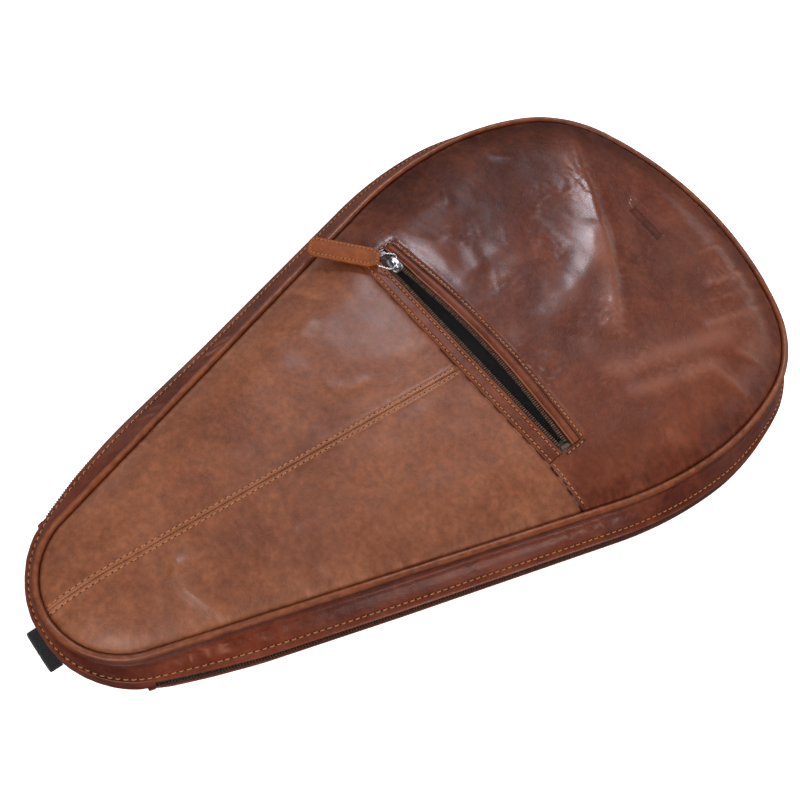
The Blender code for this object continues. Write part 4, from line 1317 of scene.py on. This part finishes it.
# ------------------------------------------------------------------ main zip
CHAIN_SHARE = 0.86                     # share of the splay where the chain lies
CHAIN_ARC = np.linspace(CHAIN_START, RING_LEN - CHAIN_START,
                        int(round((RING_LEN - 2 * CHAIN_START) / 2.0)) + 1)
CHAIN_SPLAY = splay(joint_at(CHAIN_ARC))
TAPE_THICK = 0.7
# tape section: height from the zip line, offset from the wall
TAPE_PATH = [(9.0, -2.1), (6.5, -2.0), (4.8, -1.7), (3.6, -1.2), (2.6, -0.8), (1.3, -0.5)]
ZIP_SIDES = (("front", "front_cover", 1, 0.0), ("back", "back_shell", -1, 0.5))


def chain_tape(side, body, sign):
    joint = joint_at(CHAIN_ARC)
    rows = []
    for height, off in TAPE_PATH + [(h, off - TAPE_THICK) for h, off in TAPE_PATH[::-1]]:
        z = Z_ZIP + sign * height
        flat = 1 - smooth(2.4, 5.5, height)
        share = wall(z) * (1 - flat) + CHAIN_SHARE * flat
        stretch = square(joint, z) if height > 3 else 1.0
        rows.append(place(CHAIN_ARC, CHAIN_SPLAY * share + off * stretch, z))
    sweep(side + "_chain_tape", rows, False, TAPE, body, [side + "_zip_tape"])


def chain(side, body, sign, phase):
    out_x, out_y = ring_at(CHAIN_ARC)[2:]
    points = place(CHAIN_ARC, CHAIN_SPLAY * CHAIN_SHARE + 0.05, Z_ZIP + sign * 1.25)
    out = np.column_stack([out_x, out_y, 0 * out_x])
    across = np.tile((0.0, 0.0, -1.0 * sign), (len(CHAIN_ARC), 1))
    teeth_row(side + "_chain", points, out, across, TEETH, body, 1.7, [side + "_zip_teeth"], phase)


for side, body, sign, _ in ZIP_SIDES:
    chain_tape(side, body, sign)
for side, body, sign, phase in ZIP_SIDES:
    chain(side, body, sign, phase)

# ------------------------------------------------------------------ tip leather
TIP_ARC = np.linspace(-CHAIN_START + 0.5, CHAIN_START - 0.5, int(2 * CHAIN_START / (1.3 * FINE)))


def tip_off(z):
    """The tip leather lies on both gussets and bridges them over a soft ridge."""
    soft_z = sqrt((z - Z_ZIP) ** 2 + 1.6) * (1 if z >= Z_ZIP else -1) + Z_ZIP
    fade = smooth(CHAIN_START - 10, CHAIN_START - 1, np.abs(TIP_ARC))
    share = wall(soft_z)
    ridge = splay(joint_at(TIP_ARC)) * (share * (1 - fade)
                                        + np.minimum(share, CHAIN_SHARE + 0.02) * fade)
    arc = np.mod(TIP_ARC, RING_LEN)
    on_front, on_back = smooth(24.5, 27.5, z), smooth(19.5, 16.5, z)
    return front_wall(arc, max(z, 26.0))[0] * on_front \
        + back_wall(arc, min(z, 18.0))[0] * on_back + ridge * (1 - on_front - on_back)


def tip_piece():
    """Plain leather round the tip, bridging the two gussets."""
    joint = joint_at(TIP_ARC)
    levels = np.linspace(29.0, 14.9, 24)
    lift = 0.75 - 0.5 * smooth(CHAIN_START - 8, CHAIN_START - 1, np.abs(TIP_ARC))
    rows, tones = [], []
    for z in levels:
        off = tip_off(z) + lift * square(joint, z) + 0.16 * noise(TIP_ARC / 5, z / 3, 91)
        off = off - 0.3 * bell(z, 27.4, 0.6) - 0.3 * bell(z, 16.6, 0.6)
        off = off - 0.5 * (bell(z, levels[0], 0.5) + bell(z, levels[-1], 0.5))
        rows.append(place(TIP_ARC, off, z))
        tones.append(0.2 * noise(TIP_ARC / 8, z / 5, 92)
                     + 0.3 * bell(z, 28.4, 0.8) + 0.3 * bell(z, 15.6, 0.8))
    for z in levels[::-2]:
        rows.append(place(TIP_ARC, tip_off(z) - 0.35, z))
        tones.append(0 * TIP_ARC)
    ob = sweep("tip_fold_leather", rows, False, GUSSET_LEATHER, None,
               ["tip_gusset"], tones)
    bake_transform(ob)


tip_piece()


# ------------------------------------------------------------------ back, padding and linings
def full_sheet(name, inset, edge_step, step, bands, surface, under, mat, body, replaces):
    """Sheet over the whole outline, with extra rows of points at the insets in bands."""
    grid = hexes(step)
    depth = rim_at(grid[:, 0], grid[:, 1])[0]
    kept = grid[depth > inset + step * 0.6 + (bands[-1] - inset if bands else 0)]
    inner = np.concatenate([kept] + [inset_line(band, step * 0.8) for band in bands])
    sheet(name, list(inset_line(inset, edge_step)), inner, surface, under, mat, body,
          replaces)


def back_surface(x, y):
    """Upper face of the back leather; its visible face is a thickness below."""
    depth, arc = rim_at(x, y)
    z = 4.2 + LEATHER - 3.3 * smooth(2.4, 6.0, depth) - 0.9 * smooth(5.0, 14.0, depth)
    z = z + 0.25 * np.abs(noise(x / 40, y / 40, 101)) * smooth(14, 30, depth)
    z = z + 0.10 * noise(arc / 3.0, depth / 20, 102) * bell(depth, 6, 4)
    tone = 0.25 * noise(x / 25, y / 25, 103) - 0.5 * bell(depth, 1.5, 1.5)
    return z, tone + 0.4 * smooth(16, 12, depth) * smooth(6, 10, depth)


def front_foam(x, y):
    """Top of the front padding, pressed down under the pocket bag."""
    depth = rim_at(x, y)[0]
    z = Z_FRONT - 2.9 + dome(depth, 9.0) - 1.2 * (1 - smooth(7, 14, depth))
    along, above = to_pocket(x, y)
    bag = (1 - smooth(78, 86, np.abs(along))) * smooth(0, 6, above) * (1 - smooth(118, 124, above))
    return np.minimum(z, z * (1 - bag) + 44.8 * bag), 0 * x


def lining_surface(level, sign, seed):
    """Puckered cloth whose puffs go up (sign 1) or down (-1)."""
    def surface(x, y):
        puff = smooth(4, 16, rim_at(x, y)[0])
        waves = 0.45 * np.abs(noise(x / 26, y / 26, seed)) \
            + 0.25 * np.abs(noise(x / 9, y / 9, seed + 1))
        return level + sign * (waves * puff), 0.3 * noise(x / 20, y / 20, seed + 2)
    return surface


full_sheet("back_leather", 2.0, 2.4 * FINE, 3.2 * FINE, (3.0, 4.2, 5.4, 7.0, 9.0, 12.0),
           back_surface, LEATHER, BACK_LEATHER, "back_shell", ["back_panel"])
full_sheet("front_foam", 6.5, 4.0, 6.0 * FINE, (), front_foam, lambda x, y: 42.3 + 0 * x,
           FOAM, "front_cover", ["front_padding"])
full_sheet("front_lining_cloth", 3.2, 3.0, 4.0 * FINE, (5.0, 8.0), lining_surface(41.8, -1, 111),
           0.5, LINING, "front_cover", ["front_lining"])
full_sheet("back_foam", 14.0, 5.0, 8.0 * FINE, (), lambda x, y: (5.0 + 0 * x, 0 * x), 2.6,
           FOAM, "back_shell", ["back_padding"])
full_sheet("back_lining_cloth", 3.2, 3.0, 4.0 * FINE, (5.0, 8.0), lining_surface(5.9, 1, 121),
           0.6, LINING, "back_shell", ["back_lining"])


def wall_lining(name, levels, body, seed):
    arc = ring_arcs(3.0)
    joint = joint_at(arc)
    rows = []
    for z in levels:
        off = splay(joint) * wall(z) - 2.9 * square(joint, z)
        rows.append(place(arc, off + 0.3 * noise(arc / 11, z / 8, seed), z))
    for z in levels[::-1]:
        rows.append(place(arc, splay(joint) * wall(z) - 2.3 * square(joint, z), z))
    sweep(name, rows, True, LINING, body)


wall_lining("front_wall_lining", np.linspace(42.2, 26.4, 9), "front_cover", 131)
wall_lining("back_wall_lining", np.linspace(6.4, 17.4, 7), "back_shell", 132)


# ------------------------------------------------------------------ webbing loops
def webbing(name, width, reach, centre_x, end, drop, replaces):
    """Folded loop at the tip (end -1) or head (end 1); drop is its lowest height."""
    thick, count = 1.3, 13
    high, low = drop + 3 * thick - thick / 2, drop + thick / 2
    middle, bend = (high + low) / 2, (high - low) / 2
    path = [(0.0, high), (reach * 0.25, high), (reach * 0.5, high), (reach * 0.75 - bend, high)]
    for i in range(9):
        angle = pi / 2 - pi * i / 8
        path.append((reach - bend - thick / 2 + bend * cos(angle), middle + bend * sin(angle)))
    path += [(reach * 0.75 - bend, low), (reach * 0.5, low), (reach * 0.25, low),
             (reach * 0.12, low)]
    path = np.array(path)
    normal = left_normals(np.gradient(path, axis=0))
    rows = []
    for face, order in ((1, range(count)), (-1, range(count - 1, -1, -1))):
        for j in order:
            across = 2 * j / (count - 1) - 1
            half = thick / 2 * (1 - 0.45 * abs(across) ** 6) * (1 + 0.10 * cos(pi * 5 * across))
            line = path + normal * (face * half)
            rows.append(np.column_stack([
                np.full(len(path), centre_x + across * width / 2),
                end * (LENGTH / 2 + 2.4) + end * line[:, 0], line[:, 1]]))
    sweep(name, rows, False, WEBBING, "back_shell", replaces)


webbing("tip_loop_webbing", 26.0, 9.0, -1.0, -1, 0.4, ["tip_webbing_loop"])
webbing("head_loop_webbing", 10.0, 38.0, -9.5, 1, 0.6, ["head_webbing_loop"])

# ------------------------------------------------------------------ sliders, rings, tabs
PULL_LIFT = 3.8                        # hinge of a pull above its slider's origin
POCKET_SLIDER = (-74.0, 17.0)          # along, above
PULL_HEADING, PULL_DIP = radians(223), radians(2.5)
SLIDER_GAP = 7.2                       # arc of each main slider from the middle of the head
MAIN_PULL_TILT = radians(10)
RING_REACH, WIRE_R = 11.0, 0.6
TAB_NECK, TAB_THICK, TAB_CORNER = 9.7, 2.6, 4.5


def frame_of(origin, x, z):
    """Origin and axes of a frame with the given x and roughly the given z."""
    x = Vector(x).normalized()
    y = Vector(z).cross(x).normalized()
    return np.array(origin, float), np.array([x, y, x.cross(y)])


def to_case(local_frame, points):
    origin, axes = local_frame
    return origin + np.asarray(points, float) @ axes


def pocket_frames():
    """Frames of the pocket's slider and of its pull."""
    up = np.array((0, 0, 1))
    x, y = from_pocket(*POCKET_SLIDER)
    base = np.array((float(x), float(y), CROWN_EDGE + DOME + 0.8))
    heading = np.array((cos(PULL_HEADING) * cos(PULL_DIP), sin(PULL_HEADING) * cos(PULL_DIP),
                        -sin(PULL_DIP)))
    return (frame_of(base, (POCKET_COS, POCKET_SIN, 0.0), up),
            frame_of(base + up * PULL_LIFT, heading, up))


def main_frames(side):
    """Frames of a main slider and its pull; side is -1 left, 1 right."""
    radius = CAP_R + SPLAY[1][-1]
    angle = pi / 2 - side * (SLIDER_GAP / radius)
    out = np.array((cos(angle), sin(angle), 0))
    ahead = np.array((sin(angle), -cos(angle), 0)) * side
    base = np.array((0, CAP_Y, Z_ZIP)) + out * (radius + 1.4)
    heading = ahead * cos(MAIN_PULL_TILT) - np.array((0, 0, 1)) * sin(MAIN_PULL_TILT)
    return frame_of(base, ahead, out), frame_of(base + out * PULL_LIFT, heading, out)


def rounded(width, height, radius, count):
    points = []
    x, y = width / 2 - radius, height / 2 - radius
    for centre_x, centre_y, start in ((x, -y, -90), (x, y, 0), (-x, y, 90), (-x, -y, 180)):
        for i in range(count + 1):
            angle = radians(start + 90 * i / count)
            points.append((centre_x + radius * cos(angle), centre_y + radius * sin(angle)))
    return np.array(points)


# plate rings: share of its outline, height; bridge section: across, out from its path
PLATE_LEVELS = ((0.90, -0.5), (1.0, -0.3), (1.0, 1.15), (0.97, 1.55), (0.90, 1.85), (0.78, 2.0),
                (0.55, 2.08), (0.25, 2.1))
BRIDGE_SECTION = ((-1.3, -0.33), (-1.15, -0.42), (1.15, -0.42), (1.3, -0.33), (1.3, 0.2),
                  (1.05, 0.42), (-1.05, 0.42), (-1.3, 0.2))


def slider_piece(name, local_frame, body, replaces):
    """Plate with soft shoulders and a bridge for the pull's ring."""
    outline = rounded(width=11.0, height=8.6, radius=2.6, count=6)
    x = outline[:, 0]
    outline[:, 1] *= 1 - 0.10 * (x < -1) * np.minimum(1, (np.abs(x) - 1) / 4)
    plate = np.concatenate([np.column_stack([outline * share, np.full(len(outline), z)])
                            for share, z in PLATE_LEVELS])
    path = []
    for i in range(17):
        angle = pi * (1 - i / 16)
        path.append((4.75 * copysign(abs(cos(angle)) ** 0.55, cos(angle)),
                     1.6 + 3.7 * sin(angle) ** 0.6))
    path = np.array(path)
    normal = left_normals(np.gradient(path, axis=0))
    bridge = []
    for across, out in BRIDGE_SECTION:
        line = path + normal * out
        bridge.append(np.column_stack([line[:, 0], np.full(len(path), across), line[:, 1]]))
    bridge = np.concatenate(bridge)
    faces = outward(plate, stack_faces(len(PLATE_LEVELS), len(outline)))
    faces = faces + copy_faces(bridge[None], sweep_faces(len(BRIDGE_SECTION), len(path), False),
                               len(plate))
    make(name, to_case(local_frame, np.concatenate([plate, bridge])), faces, [NICKEL], body,
         replaces, angle=38)


def ring_piece(name, local_frame, width, corner, taper, body, replaces):
    """Wire ring of a pull, its back bar on the hinge axis."""
    back = width / 2 - WIRE_R
    front = back * taper
    small = corner * 0.6
    points = []
    for centre_x, centre_y, start, radius in (
            (RING_REACH - small, front - small, 0, small), (corner, back - corner, 90, corner),
            (corner, corner - back, 180, corner), (RING_REACH - small, small - front, 270, small)):
        for i in range(7):
            angle = radians(start + 15 * i)
            points.append((centre_x + radius * cos(angle), centre_y + radius * sin(angle), 0.0))
    points = np.array(points)
    up = np.array((0, 0, 1.0))
    side = np.cross(up, unit(np.roll(points, -1, axis=0) - np.roll(points, 1, axis=0)))
    rows = [to_case(local_frame, points + side * (WIRE_R * cos(turn)) + up * (WIRE_R * sin(turn)))
            for turn in turns(10)]
    sweep(name, rows, True, NICKEL, body, replaces)


def tab_outline(neck_half, length, width):
    """Counter-clockwise outline, from the neck at the ring to the rounded far end."""
    half, end = width / 2, TAB_NECK + length
    points = [(TAB_NECK + 0.3, -neck_half + 0.6), (TAB_NECK + 1.0, -neck_half)]
    for i in range(1, 9):
        part = i / 8
        ease = 3 * part * part - 2 * part ** 3
        points.append((TAB_NECK + 1.0 + 6.2 * part, -(neck_half + (half - neck_half) * ease)))
    for i in range(1, 12):
        part = i / 12
        points.append((TAB_NECK + 7.2 + (end - TAB_CORNER - TAB_NECK - 7.2) * part, -half))
    for i in range(8):
        angle = radians(-90 + 90 * i / 7)
        points.append((end - TAB_CORNER + TAB_CORNER * cos(angle),
                       -half + TAB_CORNER + TAB_CORNER * sin(angle)))
    mirrored = [(x, -y) for x, y in reversed(points)]
    far = line_points((end, -half + TAB_CORNER), (end, half - TAB_CORNER), 2.0)[1:]
    near = line_points((TAB_NECK + 0.3, neck_half - 0.6), (TAB_NECK + 0.3, -neck_half + 0.6),
                       2.0)[1:]
    return np.array(points + [tuple(p) for p in far] + mirrored + [tuple(p) for p in near])


def inset_outline(outline, inset):
    return outline + left_normals(np.roll(outline, -1, axis=0) - np.roll(outline, 1, axis=0)) * inset


def nearest(points, targets):
    return np.min(np.linalg.norm(points[:, None, :] - targets[None], axis=2), axis=1)


def tab_grid(outline, length, width):
    """Grid points well inside an outline."""
    x, y = np.meshgrid(np.arange(TAB_NECK, TAB_NECK + length, 1.1),
                       np.arange(-width / 2, width / 2, 1.1))
    x, y = x.ravel(), y.ravel()
    crossings = np.zeros(len(x), int)
    for a, b in zip(outline, np.roll(outline, -1, axis=0)):
        spans = (a[1] > y) != (b[1] > y)
        crossings += spans & (x < a[0] + (y - a[1]) / (b[1] - a[1] + 1e-12) * (b[0] - a[0]))
    grid = np.column_stack([x, y])
    return grid[(crossings % 2 == 1) & (nearest(grid, outline) > 0.7)]


def tab_piece(name, local_frame, neck_half, length, width, body, replaces, seed):
    """Leather tab folded over the ring: two plies with rolled edges and thread all round."""
    outline = tab_outline(neck_half, length, width)
    half, count = TAB_THICK / 2, len(outline)
    face = half * 0.97
    upper = [(0.35, half * 0.72), (0.8, half * 0.95), (1.3, face)]          # inset, height
    levels = [(inset, -z) for inset, z in upper[::-1]] + [
        (0.10, -half * 0.40), (0.0, -0.22), (0.16, 0.0), (0.0, 0.22), (0.10, half * 0.40)] + upper
    loops = [np.column_stack([inset_outline(outline, inset), np.full(count, z)])
             for inset, z in levels]
    inner = inset_outline(outline, 1.3)
    flat, triangles, loop = fill(inner, tab_grid(inner, length, width))
    gap = nearest(flat, outline)
    top = face + 0.30 * smooth(2.2, 5.0, gap) - 0.16 * bell(gap, 2.0, 0.5) \
        + 0.10 * noise(flat[:, 0] / 6, flat[:, 1] / 6, seed)
    top[np.array(loop)] = face
    verts = np.concatenate(loops + [np.column_stack([flat, top]), np.column_stack([flat, -top])])
    edge_tone = [np.full(count, 0.35 - 0.9 * (abs(z) < 0.1)) for _, z in levels]
    rub_and_sheen = 0.5 * bell(gap, 1.2, 0.8)
    tone = np.concatenate(
        edge_tone + [rub_and_sheen + 0.2 * noise(flat[:, 0] / 9, flat[:, 1] / 9, seed + 1), rub_and_sheen])

    # the plies share the vertices of the first and last loop
    faces = grid_faces(len(levels), count, False, True)
    last, top_start = (len(levels) - 1) * count, len(levels) * count
    on_top = {v: last + i for i, v in enumerate(loop)}
    on_bottom = {v: i for i, v in enumerate(loop)}
    for a, b, c in triangles:
        faces.append(tuple(on_top.get(i, top_start + i) for i in (a, b, c)))
        faces.append(tuple(on_bottom.get(i, top_start + len(flat) + i) for i in (a, c, b)))
    used = sorted({i for f in faces for i in f})
    new = {old: i for i, old in enumerate(used)}
    faces = [tuple(new[i] for i in f) for f in faces]
    make(name, to_case(local_frame, verts[used]), faces, [TAB_LEATHER], body,
         replaces, tone[used])

    row = inset_outline(outline, 2.0)
    row = np.concatenate([row, row[:1]])
    runs = []
    for sign in (1, -1):
        points = np.column_stack([row, np.full(len(row), sign * (face - 0.10))])
        normals = np.tile((0.0, 0.0, float(sign)), (len(row), 1)) @ local_frame[1]
        runs.append((to_case(local_frame, points), normals))
    stitches(name + "_thread", runs, body, pitch=2.5, length=0.76, radius=0.30,
             rise=0.24, seed=seed, hole=0.36)


def slider_and_pull(kind, suffix, frames, ring, tab, seed):
    """ring: width, corner radius, taper; tab: half width of the neck, length, width."""
    slider_frame, pull_frame = frames
    slider, pull = kind + "_slider" + suffix, kind + "_pull" + suffix
    slider_piece(kind + "_zip_slider" + suffix, slider_frame, slider, [slider])
    ring_piece(kind + "_pull_ring" + suffix, pull_frame, *ring, pull, [pull + "_loop"])
    tab_piece(kind + "_pull_leather" + suffix, pull_frame, *tab, pull, [pull + "_tab"], seed)


slider_and_pull("pocket", "", pocket_frames(), (13.2, 2.6, 0.86), (4.9, 47.0, 15.0), seed=141)
for side, suffix in ((-1, "_left"), (1, "_right")):
    slider_and_pull("main", suffix, main_frames(side), (8.0, 1.6, 1.0), (2.6, 38.0, 11.0), seed=151)

# CAD pieces kept as they are, only given materials
for name, mat in (("pocket_stop_left", POCKET_TEETH), ("pocket_stop_right", POCKET_TEETH),
                  ("zip_end_left", GUSSET_LEATHER), ("zip_end_right", GUSSET_LEATHER)):
    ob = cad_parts[name]
    ob.data.materials.clear()
    ob.data.materials.append(mat)
    for slot in ob.material_slots:     # also covers slots linked to the object
        slot.material = mat


# ------------------------------------------------------------------ floor
def floor_material():
    """White to the camera, darker in reflections and bounced light, unseen from below."""
    mat = new_material("floor_paper")
    paper = mat.mix(mat.ramp(mat.noise(3, detail=3), over=(0.3, 0.7)),
                    (0.90, 0.90, 0.90, 1), (0.93, 0.93, 0.93, 1))
    rays = mat.node("ShaderNodeLightPath").outputs
    camera_ray = rays["Is Camera Ray"]
    bounced = mat.mix(rays["Is Glossy Ray"], (0.34, 0.31, 0.29, 1), (0.15, 0.13, 0.12, 1))
    mat.surface({
        "Base Color": mat.mix(camera_ray, bounced, paper),
        "Roughness": 0.9, "Specular IOR Level": 0.1, "Emission Color": (1, 1, 1, 1),
        "Emission Strength": mat.ramp(camera_ray, over=(0, 1), to=(0.03, 0.62))})
    pick = mat.node("ShaderNodeMixShader", {
        0: mat.node("ShaderNodeNewGeometry").outputs["Backfacing"],
        1: mat.main.outputs[0],
        2: mat.node("ShaderNodeBsdfTransparent").outputs[0]})
    mat.feed(mat.tree.nodes["Material Output"], {"Surface": pick.outputs[0]})
    return mat.owner


def stage_floor():
    size, z = 4.0, -0.0006             # metres
    mesh = bpy.data.meshes.new("floor")
    mesh.from_pydata([(-size, -size, z), (size, -size, z), (size, size, z), (-size, size, z)], [],
                     [(0, 1, 2, 3)])
    mesh.materials.append(floor_material())
    add_object("floor", mesh)


stage_floor()

# ------------------------------------------------------------------ lights
LIGHT_TARGET = Vector((0, 0, 0.03))
# name, direction from the target, distance (m), size and size_y (m), power (W), colour
LIGHTS = (
    ("overhead", (0.45, -0.62, 0.78), 1.9, 1.3, 1.3, 17.5, (1.0, 0.985, 0.96)),
    ("window", (-0.427, 0.449, 0.785), 1.80, 0.30, 0.34, 10.0, (0.86, 0.89, 1.0)),
    ("side", (-0.93, 0.05, 0.24), 1.8, 0.8, 0.8, 2.2, (0.97, 0.96, 0.98)),
    ("far", (0.35, 0.95, 0.55), 2.0, 0.9, 0.9, 2.6, (1.0, 0.98, 0.96)),
    ("strip", (0.526, -0.809, 1.32), 1.64, 0.20, 0.12, 1.8, (1.0, 1.0, 0.98)),
    ("behind", (-0.08, 0.93, 0.36), 1.8, 0.7, 0.24, 1.1, (0.96, 0.97, 1.0)),
    ("low", (0.985, 0.0, 0.16), 1.5, 0.50, 0.24, 1.9, (1.0, 0.98, 0.95)),
)


def area_light(name, direction, distance, size, size_y, power, colour):
    light = bpy.data.lights.new(name, "AREA")
    light.energy = power
    light.color = colour
    light.shape = "RECTANGLE"
    light.size = size
    light.size_y = size_y
    ob = add_object(name, light)
    direction = Vector(direction).normalized()
    ob.location = LIGHT_TARGET + direction * distance
    ob.rotation_mode = "QUATERNION"
    ob.rotation_quaternion = direction.to_track_quat("Z", "Y")


def studio_world():
    """Warm dim fill that is weaker in reflections and plain white to the camera."""
    SCENE.world = bpy.data.worlds.new("studio")
    nodes = Nodes(SCENE.world, "Background")
    rays = nodes.node("ShaderNodeLightPath").outputs
    camera_ray = rays["Is Camera Ray"]
    fill_light = nodes.ramp(rays["Is Glossy Ray"], over=(0.0, 1.0), to=(0.62, 0.16))
    nodes.surface({
        "Strength": nodes.ramp(camera_ray, over=(0.0, 1.0), to=(fill_light, 1.0)),
        "Color": nodes.mix(camera_ray, (1.0, 0.985, 0.96, 1), (1.0, 1.0, 1.0, 1))})


for row in LIGHTS:
    area_light(*row)
studio_world()

# ------------------------------------------------------------------ camera
SENSOR, LENS = 36.0, 49.1265
CAM_AZIMUTH, CAM_ELEVATION, CAM_ROLL = 0.6302052, 1.0626722, 0.3139924      # radians
CAM_DISTANCE, CAM_TARGET = 720.583, Vector((-14.648, -0.056, 0.0))


def place_camera():
    camera = bpy.data.cameras.new("camera")
    camera.sensor_width = SENSOR
    camera.lens = LENS
    camera.clip_start, camera.clip_end = 0.05, 20.0
    ob = add_object("camera", camera)
    back = Vector((sin(CAM_AZIMUTH) * cos(CAM_ELEVATION), -cos(CAM_AZIMUTH) * cos(CAM_ELEVATION),
                   sin(CAM_ELEVATION)))
    level = Vector((cos(CAM_AZIMUTH), sin(CAM_AZIMUTH), 0))
    upright = back.cross(level)
    right = level * cos(CAM_ROLL) + upright * sin(CAM_ROLL)
    up = -level * sin(CAM_ROLL) + upright * cos(CAM_ROLL)
    spot = (CAM_TARGET + back * CAM_DISTANCE) * MM
    rows = [(right[i], up[i], back[i], spot[i]) for i in range(3)]
    ob.matrix_world = Matrix((*rows, (0, 0, 0, 1)))
    SCENE.camera = ob


place_camera()
SCENE.view_settings.view_transform = "Standard"
